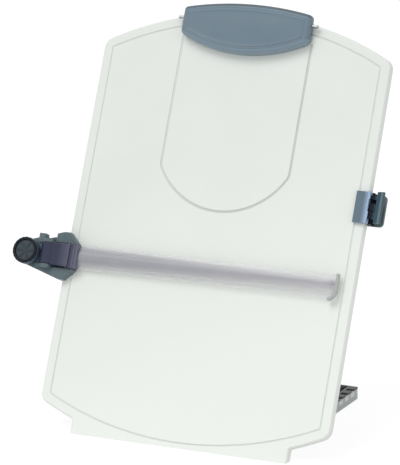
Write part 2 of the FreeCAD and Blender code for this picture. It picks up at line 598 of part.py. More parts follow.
def carriage_front():
    slit_front = SHELL_SPLIT_T - SHELL_SLIT / 2
    body = shell_outline((-SHELL_FRONT, slit_front))
    over_board = box((-EDGE_X - SLIDE, 0), (-SLIDE, SHELL_BACK_T), (0, BOARD_H))
    body = body.cut([over_board])
    body = fillet(body, SOFT_R, lambda edge: lies_at_y(edge, -SHELL_FRONT))
    inner = GUIDE_S - BARREL_HALF - SLIDE, GUIDE_S + BARREL_HALF + SLIDE
    recess_x = (pivot_x() - RECESS_HALF, pivot_x() + RECESS_HALF)
    body = body.cut([box(recess_x, (-SHELL_FRONT, slit_front), (inner[1] + LUG_T, BOARD_H))])
    lugs = []
    for low, high in ((inner[0] - LUG_T, inner[0]), (inner[1], inner[1] + LUG_T)):
        lugs.append(rod_z(pivot_x(), -PIVOT_N, (low, high), LUG_R))
        lugs.append(box((pivot_x() - LUG_REACH, pivot_x() + LUG_R), (-PIVOT_N, -1), (low, high)))
    stop_x = pivot_x() - LUG_REACH
    lugs.append(box((stop_x, stop_x + STOP_W), (-PIVOT_N, -1),
                    (inner[1], inner[1] + LUG_T + STOP_UP)))
    body = join([body] + lugs)
    trough = rod_z(pivot_x(), -PIVOT_N, inner, BARREL_R + SLIDE)
    window_t = (-2 * SHELL_FRONT, -SLIDE - SHELL_LIP_T)
    window = box((pivot_x(), 0), window_t, inner)
    half = TANG_HALF + SOCKET_WALL + SOCKET_RIB_UP + SLIDE
    window = window.fuse(box((pivot_x() + LUG_R, 0), window_t, (GUIDE_S - half, GUIDE_S + half)))
    holes = [rod_z(pivot_x(), -PIVOT_N, (inner[0] - 2 * LUG_T, inner[1] + 2 * LUG_T),
                   PIVOT_PIN_R + RUN),
             rod_y(knob_x(), (-2 * SHELL_FRONT, SHELL_BACK_T), GUIDE_S, STUD_R + RUN)]
    holes += [rod_y(x, (-SHELL_SCREW_REACH, SHELL_BACK_T), s, SCREW_R + RUN)
              for x, s in shell_screw_places()]
    return body.cut([trough, window] + holes)


def channel_x(side):
    """Limits of the guide channel behind the left (-1) or right (+1) edge."""
    return sorted((side * (EDGE_X - RIM_T), side * (EDGE_X - RIM_T - CHANNEL_W)))


def rear_lip(side, s, half):
    """Lip behind the board with a tongue in the guide channel."""
    low, high = channel_x(side)
    lip_t = BOARD_T + SLIDE + PAD_T
    lip_x = sorted((side * EDGE_X, side * (EDGE_X - RIM_T - CHANNEL_W - 2 * RIB_T)))
    lip = box(lip_x, (lip_t, lip_t + REAR_LIP_T), (s - half, s + half))
    tongue = box((low + SLIDE, high - SLIDE), (SKIN_T + 2 * SLIDE, lip_t + REAR_LIP_T / 2),
                 (s - TONGUE_HALF, s + TONGUE_HALF))
    return lip, tongue


def edge_pad(side, s, half):
    """Felt pad between a rear lip and the board's back."""
    low, high = channel_x(side)
    pad_x = sorted((side * EDGE_X, side * (EDGE_X - RIM_T - CHANNEL_W - 2 * RIB_T)))
    pad = box(pad_x, (BOARD_T + SLIDE, BOARD_T + SLIDE + PAD_T), (s - half, s + half))
    hole = box((low + SLIDE - RUN, high - SLIDE + RUN), (BOARD_T, BOARD_T + 2 * PAD_T),
               (s - TONGUE_HALF - RUN, s + TONGUE_HALF + RUN))
    return pad.cut([hole])


def nut_prism(x, t, s, flat):
    """Hexagonal prism along Y with the given width across its flats."""
    radius = flat / math.sqrt(3)
    points = [(x + radius * math.cos(math.radians(60 * k)),
               s + radius * math.sin(math.radians(60 * k))) for k in range(6)]
    return prism_y(points, t)


def carriage_rear():
    slit_back = SHELL_SPLIT_T + SHELL_SLIT / 2
    outer = shell_outline((slit_back, SHELL_BACK_T))
    outer = outer.common(box((-BOARD_W, -EDGE_X - SLIDE), (0, SHELL_BACK_T),
                             (GUIDE_S - REAR_HALF, GUIDE_S + REAR_HALF)))
    outer = fillet(outer, SOFT_R, lambda edge: lies_at_y(edge, SHELL_BACK_T))
    lip, tongue = rear_lip(-1, GUIDE_S, REAR_HALF)
    bridge = box((-EDGE_X - 2 * SLIDE, -EDGE_X), (BOARD_T + SLIDE + PAD_T,
                                                BOARD_T + SLIDE + PAD_T + REAR_LIP_T),
                 (GUIDE_S - REAR_HALF, GUIDE_S + REAR_HALF))
    body = join([outer, bridge, lip, tongue])
    holes = [rod_y(knob_x(), (0, 2 * SHELL_BACK_T), GUIDE_S, STUD_R + RUN),
             nut_prism(knob_x(), (SHELL_BACK_T - NUT_T, SHELL_BACK_T + 1), GUIDE_S,
                       NUT_FLAT + 2 * RUN)]
    holes += [rod_y(x, (0, 2 * SHELL_BACK_T), s, SCREW_R + RUN) for x, s in shell_screw_places()]
    return body.cut(holes)


def carriage_pad():
    return edge_pad(-1, GUIDE_S, REAR_HALF)


def carriage_screws():
    return group([screw_y(x, s, SHELL_BACK_T, -SHELL_SCREW_REACH + SLIDE)
                  for x, s in shell_screw_places()])


def clamp_nut():
    nut = nut_prism(knob_x(), (SHELL_BACK_T - NUT_T, SHELL_BACK_T), GUIDE_S, NUT_FLAT)
    return nut.cut([rod_y(knob_x(), (0, 2 * SHELL_BACK_T), GUIDE_S, STUD_R + RUN)])


def guide_pivot_pin():
    half = BARREL_HALF + SLIDE + LUG_T
    return rod_z(pivot_x(), -PIVOT_N, (GUIDE_S - half, GUIDE_S + half), PIVOT_PIN_R)


def knob_washer():
    washer = rod_y(knob_x(), (-SHELL_FRONT - WASHER_T, -SHELL_FRONT), GUIDE_S, WASHER_R)
    return washer.cut([rod_y(knob_x(), (-2 * SHELL_FRONT, 0), GUIDE_S, STUD_R + RUN)])


# ---------------------------------------------------------------- line guide bar
def bar_profile(x, grow):
    """The bar's section, thicker in the middle, grown on all sides and run from x[0] to x[1]."""
    half = BAR_W / 2
    core_low = GUIDE_S + BAR_CORE_UP - BAR_CORE_W / 2
    core_high = GUIDE_S + BAR_CORE_UP + BAR_CORE_W / 2
    edges = box(x, (-BAR_BACK_N - BAR_EDGE_T - grow, -BAR_BACK_N + grow),
                (GUIDE_S - half - grow, GUIDE_S + half + grow))
    bevel = BAR_T - BAR_EDGE_T
    front, step = -BAR_BACK_N - BAR_T - grow, -BAR_BACK_N - BAR_EDGE_T
    points = [(step, core_low - grow - bevel), (front, core_low - grow),
              (front, core_high + grow), (step, core_high + grow + bevel)]
    core = prism_x(points, x)
    return join([edges, core])


def bar_tang(x, grow):
    """The bar's narrower end in the socket, grown on all sides."""
    depth = (-BAR_BACK_N - BAR_T - 2 * grow, -BAR_BACK_N + 2 * grow)
    half = TANG_HALF + grow
    return bar_profile(x, grow).common(box(x, depth, (GUIDE_S - half, GUIDE_S + half)))


def guide_bar():
    socket_end = -EDGE_X + SOCKET_IN
    free_end = EDGE_X - BAR_END_IN
    blade = bar_profile((socket_end, free_end), 0)
    blade = fillet(blade, BAR_CORNER_R, lambda edge: runs_along(edge, V(0, 1, 0))
                   and edge.CenterOfMass.x > free_end - NEAR
                   and edge.CenterOfMass.z < GUIDE_S - BAR_W / 2 + NEAR)
    return join([blade, bar_tang((socket_end - SOCKET_DEEP, socket_end), 0)])


def bar_holder():
    """Hinge barrel, arm and ribbed socket in one moulding."""
    socket_x = (-EDGE_X + SOCKET_OUT, -EDGE_X + SOCKET_IN)
    barrel = rod_z(pivot_x(), -PIVOT_N, (GUIDE_S - BARREL_HALF, GUIDE_S + BARREL_HALF), BARREL_R)
    neck_end = pivot_x() + LUG_R + SLIDE
    neck = box((pivot_x(), neck_end), (-ARM_HIGH_N, -ARM_LOW_N),
               (GUIDE_S - BARREL_HALF, GUIDE_S + BARREL_HALF))
    arm = box((neck_end, socket_x[0] + 2 * SOCKET_WALL), (-ARM_HIGH_N, -ARM_LOW_N),
              (GUIDE_S - ARM_HALF, GUIDE_S + ARM_HALF))
    arm = fillet(arm, SOFT_R, lambda edge: lies_at_y(edge, -ARM_HIGH_N)
                 and runs_along(edge, V(1, 0, 0)))
    half = TANG_HALF + SOCKET_WALL
    depth = (-BAR_BACK_N - BAR_T - SOCKET_WALL, -BAR_BACK_N + SOCKET_WALL / 2)
    sleeve = box(socket_x, depth, (GUIDE_S - half, GUIDE_S + half))
    parts = [barrel, neck, arm, sleeve]
    pitch = (socket_x[1] - socket_x[0]) / SOCKET_RIBS
    for k in range(SOCKET_RIBS):
        low = socket_x[0] + (2 * k + 1) * pitch / 2 - SOCKET_RIB_W / 2
        parts.append(box((low, low + SOCKET_RIB_W), (depth[0] - SOCKET_RIB_UP, depth[1]),
                         (GUIDE_S - half - SOCKET_RIB_UP, GUIDE_S + half + SOCKET_RIB_UP)))
    body = join(parts)
    pocket = bar_tang((socket_x[1] - SOCKET_DEEP, socket_x[1] + 1), RUN)
    hole = rod_z(pivot_x(), -PIVOT_N, (0, BOARD_H), PIVOT_PIN_R + RUN)
    return body.cut([pocket, hole])


def end_cap_block(grow):
    """Block with one rounded corner over the bar's free end, grown past the bar's edges."""
    right, low = EDGE_X - BAR_END_IN + grow, GUIDE_S - BAR_W / 2 - grow
    block = box((right - BAR_W, right), (-BAR_BACK_N - BAR_T - SLIDE, -BAR_BACK_N + SLIDE),
                (low, GUIDE_S + BAR_W / 2))
    return fillet(block, BAR_CORNER_R + grow, lambda edge: runs_along(edge, V(0, 1, 0))
                  and edge.CenterOfMass.x > right - NEAR and edge.CenterOfMass.z < low + NEAR)


def bar_end_cap():
    """Finger lip along the bar's free end and round its lower corner."""
    start = EDGE_X - BAR_END_IN - END_CAP_FOOT
    lip = end_cap_block(END_CAP_T).cut([end_cap_block(0)])
    return lip.common(box((start, EDGE_X), (-BOARD_W, 0), (0, GUIDE_S + BAR_W / 2)))


# ---------------------------------------------------------------- clamp knob
def knob():
    back = -SHELL_FRONT - WASHER_T - SLIDE
    body = rod_y(knob_x(), (-KNOB_FRONT, back), GUIDE_S, KNOB_R)
    body = fillet(body, SOFT_R, lambda edge: lies_at_y(edge, -KNOB_FRONT))
    cuts = [rod_y(knob_x(), (-KNOB_FRONT - 1, -KNOB_FRONT + DIAL_DEEP), GUIDE_S, DIAL_R)]
    for k in range(KNOB_FLUTES):
        angle = 2 * math.pi * k / KNOB_FLUTES
        cuts.append(rod_y(knob_x() + (KNOB_R + FLUTE_R / 2) * math.cos(angle),
                          (-KNOB_FRONT - 1, back + 1),
                          GUIDE_S + (KNOB_R + FLUTE_R / 2) * math.sin(angle), FLUTE_R))
    cuts.append(rod_y(knob_x(), (-KNOB_FRONT + STUD_SINK - RUN, 0), GUIDE_S, STUD_R + RUN))
    return body.cut(cuts)


def knob_cap():
    """Disc in the knob's face with raised bars, set round like the spokes of a wheel."""
    floor = -KNOB_FRONT + DIAL_DEEP
    parts = [rod_y(knob_x(), (floor - CAP_T / 2, floor), GUIDE_S, DIAL_R - RUN)]
    for k in range(CAP_BARS):
        reach = DIAL_R - CAP_BAR_END
        bar = box((knob_x() - reach, knob_x() + reach), (floor - CAP_T, floor),
                  (GUIDE_S - CAP_BAR_W / 2, GUIDE_S + CAP_BAR_W / 2))
        bar.rotate(V(knob_x(), 0, GUIDE_S), V(0, 1, 0), 180.0 * k / CAP_BARS)
        parts.append(bar)
    return join(parts)


def knob_stud():
    return rod_y(knob_x(), (-KNOB_FRONT + STUD_SINK, SHELL_BACK_T + 1), GUIDE_S, STUD_R)


# ---------------------------------------------------------------- side clip
def side_pin_x():
    return EDGE_X + SIDE_PIN_OUT


def side_clip_body():
    s = (SIDE_S - SIDE_HALF, SIDE_S + SIDE_HALF)
    lip, tongue = rear_lip(1, SIDE_S, SIDE_HALF)
    back = BOARD_T + SLIDE + PAD_T + REAR_LIP_T
    wall = box((EDGE_X + SLIDE, EDGE_X + SLIDE + SIDE_WALL), (0, back), s)
    bridge = box((EDGE_X, EDGE_X + 2 * SLIDE), (back - REAR_LIP_T, back), s)
    wing = box((EDGE_X + SLIDE, EDGE_X + BACK_WING), (back - BACK_WING_T, back), s)
    lug_s = (SIDE_S - SIDE_LUG_HALF, SIDE_S + SIDE_LUG_HALF)
    lug_high = side_pin_x() + SIDE_BARREL_R / 2
    lug = [rod_z(side_pin_x(), -SIDE_PIN_N, lug_s, SIDE_BARREL_R),
           box((EDGE_X + SIDE_WALL + SLIDE, lug_high), (-SIDE_PIN_N, SIDE_WALL / 2), lug_s),
           box((EDGE_X + SIDE_WALL / 2, lug_high), (0, SIDE_WALL / 2), lug_s)]
    wing = fillet(wing, WING_CORNER_R, lambda edge: runs_along(edge, V(0, 1, 0))
                  and edge.CenterOfMass.x > EDGE_X + SIDE_WALL)
    body = join([wall, bridge, lip, tongue, wing] + lug)
    return body.cut([rod_z(side_pin_x(), -SIDE_PIN_N, (0, BOARD_H), SIDE_PIN_R + RUN)])


def side_clip_pad():
    return edge_pad(1, SIDE_S, SIDE_HALF)


def side_clip_jaw():
    """Page jaw on the left of the hinge and finger wing on its right."""
    s = (SIDE_S - SIDE_HALF, SIDE_S + SIDE_HALF)
    plate_x = (EDGE_X - JAW_IN, EDGE_X + SIDE_WALL)
    plate = box(plate_x, (-JAW_BACK_N - JAW_T, -JAW_BACK_N), s)
    ridge = box((plate_x[1] - JAW_RIDGE_W, plate_x[1]), (-JAW_RIDGE_N, -JAW_BACK_N), s)
    ridge = fillet(ridge, SOFT_R, lambda edge: lies_at_y(edge, -JAW_RIDGE_N)
                   and runs_along(edge, V(0, 0, 1)))
    half_gap = SIDE_LUG_HALF + SLIDE
    barrel_s = [(SIDE_S - SIDE_BARREL_HALF, SIDE_S - half_gap),
                (SIDE_S + half_gap + SIDE_COIL_T + SLIDE, SIDE_S + SIDE_BARREL_HALF)]
    barrels = [rod_z(side_pin_x(), -SIDE_PIN_N, pair, SIDE_BARREL_R) for pair in barrel_s]
    webs = [box((plate_x[1] - 1, side_pin_x()), (-SIDE_PIN_N, -JAW_BACK_N), pair)
            for pair in barrel_s]
    wing_low = side_pin_x() + SIDE_BARREL_R + SLIDE
    root = wing_low - WING_ROOT
    points = [(root, -SIDE_PIN_N + WING_T / 2), (root, -SIDE_PIN_N - WING_T / 2),
              (EDGE_X + SIDE_WING, -WING_FRONT), (EDGE_X + SIDE_WING, -WING_FRONT + WING_T)]
    wing = prism_z(points, s)
    gap = box((side_pin_x() - SIDE_BARREL_R - SLIDE, wing_low), (-3 * SIDE_PIN_N, 0),
              (SIDE_S - half_gap, SIDE_S + half_gap + SIDE_COIL_T + SLIDE))
    notch_x = (side_pin_x() - SIDE_BARREL_R, wing_low)
    notches = [box(notch_x, (-3 * SIDE_PIN_N, 0), (s[0] - 1, SIDE_S - SIDE_BARREL_HALF)),
               box(notch_x, (-3 * SIDE_PIN_N, 0), (SIDE_S + SIDE_BARREL_HALF, s[1] + 1))]
    body = join([plate, ridge] + barrels + webs + [wing])
    hole = rod_z(side_pin_x(), -SIDE_PIN_N, (0, BOARD_H), SIDE_PIN_R + RUN)
    return body.cut([hole, gap] + notches)


def side_clip_grip():
    """Thin rubber sheet on the back of the jaw plate."""
    return box((EDGE_X - JAW_IN, EDGE_X - 1), (-JAW_BACK_N, -JAW_BACK_N + JAW_GRIP_T),
               (SIDE_S - SIDE_HALF, SIDE_S + SIDE_HALF))


def side_clip_pin():
    return rod_z(side_pin_x(), -SIDE_PIN_N,
                 (SIDE_S - SIDE_BARREL_HALF, SIDE_S + SIDE_BARREL_HALF), SIDE_PIN_R)


def side_clip_spring():
    """Coil round the side clip's pin, between its lug and the jaw's upper barrel."""
    low = SIDE_S + SIDE_LUG_HALF + SLIDE
    coil = rod_z(side_pin_x(), -SIDE_PIN_N, (low, low + SIDE_COIL_T), SIDE_BARREL_R - SLIDE)
    return coil.cut([rod_z(side_pin_x(), -SIDE_PIN_N, (0, BOARD_H), SIDE_PIN_R + 2 * RUN)])


# ---------------------------------------------------------------- prop leg and its brackets
def prop_brackets():
    """A pair of brackets screwed to the board's back, each astride one knuckle of the leg."""
    inner, outer = prop_seat_x()
    plate_x = (inner + RUN, outer - RUN)
    back = SEAT_T + PROP_PLATE_T
    plate = box(plate_x, (SEAT_T, back),
                (PROP_HINGE_S - PROP_PLATE_UP, PROP_HINGE_S + PROP_PLATE_UP))
    parts = [plate]
    for low in (LEG_TOP_HALF - LEG_KNUCKLE - SLIDE - EAR_T, LEG_TOP_HALF + SLIDE):
        x = (low, low + EAR_T)
        parts.append(rod_x(x, HINGE_T, PROP_HINGE_S, HINGE_R))
        parts.append(box(x, (SEAT_T, HINGE_T), (PROP_HINGE_S - HINGE_R, PROP_HINGE_S + HINGE_R)))
    holes = [rod_x((0, EDGE_X), HINGE_T, PROP_HINGE_S, ROD_R + RUN)]
    holes += [rod_y(x, (0, back), s, SCREW_R + RUN) for x, s in prop_screw_places() if x > 0]
    right = join(parts).cut(holes)
    return group([right, mirrored(right)])


def prop_bracket_screws():
    return group([screw_y(x, s, SEAT_T + PROP_PLATE_T, SKIN_T / 2 + SLIDE)
                  for x, s in prop_screw_places()])


def prop_hinge_pins():
    right = rod_x((LEG_TOP_HALF - LEG_KNUCKLE - SLIDE - EAR_T, LEG_TOP_HALF + SLIDE + EAR_T),
                  HINGE_T, PROP_HINGE_S, ROD_R)
    return group([right, mirrored(right)])


def leg_half(z):
    """Half width of the leg at a distance z from its hinge."""
    return LEG_TOP_HALF + (LEG_FOOT_HALF - LEG_TOP_HALF) * z / PROP_LEN


def leg_plate(z, y, inset):
    """The leg's tapering outline between two distances from its hinge."""
    low, high = leg_half(z[0]) - inset, leg_half(z[1]) - inset
    points = [(-low, z[0]), (low, z[0]), (high, z[1]), (-high, z[1])]
    return prism_y(points, y)


def prop_leg():
    """Ribbed flap with two knuckles at the board and a bored foot."""
    half_t = LEG_T / 2
    start, end = HINGE_R + PASS, PROP_LEN
    body = leg_plate((start, end), (-half_t, half_t), 0)
    hollow = leg_plate((start + LEG_RIB_T, end - HINGE_R - LEG_RIB_T),
                       (-half_t + LEG_SKIN, half_t + 1), LEG_RIB_T)
    ribs = []
    place = start + LEG_RIB_PITCH
    while place < end - LEG_RIB_PITCH / 2:
        ribs.append(box((-EDGE_X, EDGE_X), (-half_t, half_t), (place, place + LEG_RIB_T)))
        place += LEG_RIB_PITCH
    for x in (-1, 1):
        middle = x * LEG_TOP_HALF / 2
        ribs.append(box((middle - LEG_RIB_T / 2, middle + LEG_RIB_T / 2), (-half_t, half_t),
                        (start, end)))
    body = body.cut([hollow.cut(ribs)])
    knuckle = (LEG_TOP_HALF - LEG_KNUCKLE, LEG_TOP_HALF)
    parts = [body, rod_x((-LEG_FOOT_HALF, LEG_FOOT_HALF), 0, PROP_LEN, HINGE_R)]
    for x in (knuckle, (-knuckle[1], -knuckle[0])):
        parts.append(rod_x(x, 0, 0, HINGE_R))
        parts.append(box(x, (-half_t, half_t), (0, start + 1)))
    holes = [rod_x((-EDGE_X, EDGE_X), 0, 0, ROD_R + RUN),
             rod_x((-EDGE_X, EDGE_X), 0, PROP_LEN, FOOT_ROD_R + RUN)]
    return join(parts).cut(holes)


def prop_foot_rod():
    return rod_x((-FOOT_ROD_HALF, FOOT_ROD_HALF), 0, PROP_LEN, FOOT_ROD_R)


def prop_foot_grips():
    """Rubber sleeves on the ends of the foot rod, which lie in the base's notches."""
    x = (LEG_FOOT_HALF + SLIDE, FOOT_ROD_HALF)
    right = rod_x(x, 0, PROP_LEN, GRIP_R).cut([rod_x(x, 0, PROP_LEN, FOOT_ROD_R + RUN)])
    return group([right, mirrored(right)])


# ---------------------------------------------------------------- base plate
def base_inner_half():
    """Half width of the base plate inside its rails."""
    return BASE_W / 2 - RAIL_W


def desk():
    """Height of the desk in the base frame."""
    return -BASE_HINGE_Z


def base_knuckle_x():
    """Places of the base's knuckles, each beside one of the board's lugs."""
    left, middle, right = LUG_X
    return [(left[0] - SLIDE - KNUCKLE_W, left[0] - SLIDE),
            (middle[1] + SLIDE, middle[1] + SLIDE + KNUCKLE_W),
            (right[1] + SLIDE, right[1] + SLIDE + KNUCKLE_W)]


def foot_pad_places():
    """(x, y) of the rubber feet under the base plate."""
    side = base_inner_half() - BASE_WALL - FOOT_PAD_SIDE
    front = BASE_START + BASE_WALL + FOOT_PAD_IN
    rear = BASE_LEN - BASE_WALL - FOOT_PAD_IN
    return [(x, y) for x in (-side, side) for y in (front, rear)]


def base_plate():
    half = base_inner_half()
    floor, top = desk() + BASE_LIFT, desk() + BASE_H
    body = box((-half, half), (BASE_START, BASE_LEN), (floor, top))
    inside_x = (-half + BASE_WALL, half - BASE_WALL)
    inside_y = (BASE_START + BASE_WALL, BASE_LEN - BASE_WALL)
    deck_low = desk() + DECK_LOW
    cuts = [box(inside_x, inside_y, (floor - 1, deck_low)),
            box(inside_x, inside_y, (deck_low + DECK_T, top + 1))]
    cuts += [rod_z(x, y, (deck_low - 1, deck_low + DECK_T), FOOT_STEM_R + RUN)
             for x, y in foot_pad_places()]
    body = body.cut(cuts)
    arms = []
    front = BASE_START + BASE_WALL
    for x in base_knuckle_x():
        arms.append(rod_x(x, 0, 0, HINGE_R))
        points = [(0, HINGE_R), (HINGE_R, HINGE_R - 1), (front, top), (front, floor + 1),
                  (BASE_START, floor + 1), (0, -HINGE_R)]
        arms.append(prism_x(points, x))
    body = join([body] + arms)
    return body.cut([rod_x((-BASE_W, BASE_W), 0, 0, ROD_R + RUN)])


def notch_places():
    """Middles of the notches, as many as the plate is long enough for."""
    last = BASE_LEN - BASE_WALL - (NOTCH_PITCH + MAT_RIB_W) / 2
    places = [PROP_REACH + (NOTCH_BEHIND - k) * NOTCH_PITCH for k in range(NOTCH_COUNT)]
    return [middle for middle in places if middle <= last]


def notch_rails():
    """Toothed rails along both sides of the base plate, which catch the leg's grips."""
    top = desk() + BASE_H
    x = (base_inner_half(), BASE_W / 2)
    rail = box(x, (BASE_START, BASE_LEN), (desk() + BASE_LIFT, top))
    cuts = []
    for middle in notch_places():
        points = [(middle - NOTCH_W / 2, top + 1), (middle - NOTCH_W / 2, top),
                  (middle - NOTCH_W / 2 + NOTCH_FRONT_RUN, top - NOTCH_DEEP),
                  (middle + NOTCH_W / 2 - NOTCH_BACK_RUN, top - NOTCH_DEEP),
                  (middle + NOTCH_W / 2, top), (middle + NOTCH_W / 2, top + 1)]
        cuts.append(prism_x(points, (x[0] - 1, x[1] + 1)))
    right = rail.cut(cuts)
    return group([right, mirrored(right)])


def base_mat():
    """Rubber mat on the deck, with a rib between each two notches."""
    half = base_inner_half() - BASE_WALL - MAT_EDGE
    y = (BASE_START + BASE_WALL + MAT_EDGE, BASE_LEN - BASE_WALL - MAT_EDGE)
    low = desk() + DECK_LOW + DECK_T
    sheet = box((-half, half), y, (low, low + MAT_SHEET))
    ribs = []
    notches = notch_places()
    for middle in [notches[0] + NOTCH_PITCH] + notches:
        front = middle - (NOTCH_PITCH + MAT_RIB_W) / 2
        ribs.append(box((-half, half), (front, front + MAT_RIB_W), (low, desk() + BASE_H)))
    return join([sheet] + ribs)


def base_feet():
    """Rubber feet with stems in the deck's holes."""
    low = desk() + DECK_LOW
    feet = []
    for x, y in foot_pad_places():
        foot = rod_z(x, y, (desk(), low), FOOT_PAD_R)
        foot = fillet(foot, SOFT_R, lambda edge: edge.BoundBox.ZMax < desk() + NEAR)
        feet.append(join([foot, rod_z(x, y, (low, low + FOOT_STEM_T), FOOT_STEM_R)]))
    return group(feet)


def base_hinge_rod():
    ends = base_knuckle_x()
    return rod_x((ends[0][0], ends[2][1]), 0, 0, ROD_R)


# ---------------------------------------------------------------- nodes
NODES = [
    (BOARD_PLACE, [board_panel, clip_bracket, clip_pin, clip_screws, clip_spring, clip_cover,
                   clip_jaw_pad, carriage_front, carriage_rear, carriage_pad, carriage_screws,
                   clamp_nut, guide_pivot_pin, knob_washer, bar_holder, guide_bar,
                   bar_end_cap, knob, knob_cap, knob_stud, side_clip_body, side_clip_pad,
                   side_clip_jaw, side_clip_grip, side_clip_pin, side_clip_spring,
                   prop_brackets, prop_bracket_screws, prop_hinge_pins]),
    (LEG_PLACE, [prop_leg, prop_foot_rod, prop_foot_grips]),
    (BASE_PLACE, [base_plate, notch_rails, base_mat, base_feet, base_hinge_rod]),
]


def main():
    os.makedirs("parts", exist_ok=True)
    for place, makers in NODES:
        for maker in makers:
            shape = maker()
            shape.Placement = place.multiply(shape.Placement)
            shape.exportStep("parts/" + maker.__name__ + ".step")
            box_size = shape.BoundBox
            print("%-20s solids %d volume %10.1f valid %s x %.1f %.1f y %.1f %.1f z %.1f %.1f" % (
                maker.__name__, len(shape.Solids), shape.Volume, shape.isValid(),
                box_size.XMin, box_size.XMax, box_size.YMin, box_size.YMax,
                box_size.ZMin, box_size.ZMax))


main()
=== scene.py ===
"""Desk copy holder with line guide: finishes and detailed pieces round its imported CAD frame.

Lengths are metres in the row frame: +X to the reader's right, +Y away from the reader, +Z up.
Most pieces are drawn in the board frame: x to the right, t back from the board's front face and
s up the board from its foot. BOARD turns that frame into the row frame.
"""

import json
import math

import bmesh
import bpy
from mathutils import Matrix, Vector

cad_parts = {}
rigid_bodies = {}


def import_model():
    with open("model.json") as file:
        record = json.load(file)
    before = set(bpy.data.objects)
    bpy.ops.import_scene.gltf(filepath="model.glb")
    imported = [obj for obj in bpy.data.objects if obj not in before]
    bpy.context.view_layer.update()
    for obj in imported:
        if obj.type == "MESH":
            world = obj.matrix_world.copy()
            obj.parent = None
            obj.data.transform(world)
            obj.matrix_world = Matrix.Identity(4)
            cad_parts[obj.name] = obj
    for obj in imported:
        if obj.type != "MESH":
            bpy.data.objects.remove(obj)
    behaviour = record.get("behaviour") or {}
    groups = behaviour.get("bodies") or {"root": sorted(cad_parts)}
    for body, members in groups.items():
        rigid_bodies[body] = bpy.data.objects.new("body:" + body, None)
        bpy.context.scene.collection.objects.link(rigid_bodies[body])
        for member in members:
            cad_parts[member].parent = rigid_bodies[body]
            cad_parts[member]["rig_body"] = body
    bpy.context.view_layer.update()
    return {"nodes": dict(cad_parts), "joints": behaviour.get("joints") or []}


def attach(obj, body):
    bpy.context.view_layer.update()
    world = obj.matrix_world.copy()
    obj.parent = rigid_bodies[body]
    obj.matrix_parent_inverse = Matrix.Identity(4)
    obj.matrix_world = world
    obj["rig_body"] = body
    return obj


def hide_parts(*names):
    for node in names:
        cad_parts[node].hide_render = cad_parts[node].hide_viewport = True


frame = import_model()
bpy.context.scene.view_settings.view_transform = "Standard"

MM = 0.001
TINY = 0.001 * MM         # radius at which a turned profile closes on its axis
CAD_WELD = 0.001 * MM     # corners of a CAD mesh that lie closer than this are one
OWN_WELD = 0.0001 * MM    # and corners of a mesh that is drawn here
IMAGE_HEIGHT = 465        # pixels of the image's long side

# ---------------------------------------------------------------- the board frame
JOINTS = {joint["name"]: joint for joint in frame["joints"]}
UP_BOARD = Vector(JOINTS["guide_slide"]["axis"]).normalized()
OUT_OF_BOARD = Vector((0, -UP_BOARD.z, UP_BOARD.y))
FRONT_AT = max(v.co.dot(OUT_OF_BOARD) for v in frame["nodes"]["board_panel"].data.vertices)
BOARD = Matrix.Translation((0, FRONT_AT / OUT_OF_BOARD.y, 0)) @ Matrix((
    (1, 0, 0, 0),
    (0, -OUT_OF_BOARD.y, UP_BOARD.y, 0),
    (0, -OUT_OF_BOARD.z, UP_BOARD.z, 0),
    (0, 0, 0, 1)))
TO_BOARD = BOARD.inverted()


def corners(points):
    """Lowest and highest corner of the box round some points."""
    return (Vector([min(p[k] for p in points) for k in range(3)]),
            Vector([max(p[k] for p in points) for k in range(3)]))


def span(node):
    """Lowest and highest corner (x, t, s) of a CAD node in the board frame."""
    return corners([TO_BOARD @ v.co for v in frame["nodes"][node].data.vertices])


def body_of(node):
    """Body that a CAD node belongs to."""
    return frame["nodes"][node]["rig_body"]


# ---------------------------------------------------------------- camera
CAMERA_AZIMUTH = math.radians(24.69)      # the camera stands to the right of the board's normal
CAMERA_ELEVATION = math.radians(13.4)
CAMERA_DISTANCE = 2.1999
CAMERA_TARGET = Vector((0, 0.05644, 0.150))
TARGET_PIXEL_RIGHT = 9.26                 # where the target lies from the image's middle
TARGET_PIXEL_DOWN = 5.23
FOCAL_PIXELS = 2901.4
SENSOR = 36.0
VIEW_NEAR, VIEW_FAR = 0.05, 50


def make_camera():
    """Camera of the photograph, aimed so that the target comes to lie on its pixel."""
    azimuth, elevation = CAMERA_AZIMUTH, CAMERA_ELEVATION
    back = Vector((math.sin(azimuth) * math.cos(elevation),
                   -math.cos(azimuth) * math.cos(elevation), math.sin(elevation)))
    right = Vector((math.cos(azimuth), math.sin(azimuth), 0))
    up = back.cross(right)
    place = CAMERA_TARGET + back * CAMERA_DISTANCE
    metres_per_pixel = CAMERA_DISTANCE / FOCAL_PIXELS
    aim = (CAMERA_TARGET - right * TARGET_PIXEL_RIGHT * metres_per_pixel
           + up * TARGET_PIXEL_DOWN * metres_per_pixel)
    data = bpy.data.cameras.new("camera")
    data.sensor_width = SENSOR
    data.lens = FOCAL_PIXELS / IMAGE_HEIGHT * SENSOR
    data.clip_start, data.clip_end = VIEW_NEAR, VIEW_FAR
    camera = bpy.data.objects.new("camera", data)
    bpy.context.scene.collection.objects.link(camera)
    camera.location = place
    camera.rotation_mode = "QUATERNION"
    camera.rotation_quaternion = (place - aim).to_track_quat("Z", "Y")
    bpy.context.scene.camera = camera


# ---------------------------------------------------------------- mesh helpers
def new_piece(name, mesh, body, material, replaced, smooth_below=35):
    """Link a finished mesh as a piece that rides on a body and stands for CAD nodes."""
    piece = bpy.data.objects.new(name, mesh)
    bpy.context.scene.collection.objects.link(piece)
    mesh.materials.clear()
    mesh.materials.append(material)
    mesh.shade_smooth()
    mesh.set_sharp_from_angle(angle=math.radians(smooth_below))
    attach(piece, body)
    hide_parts(*replaced)
    return piece


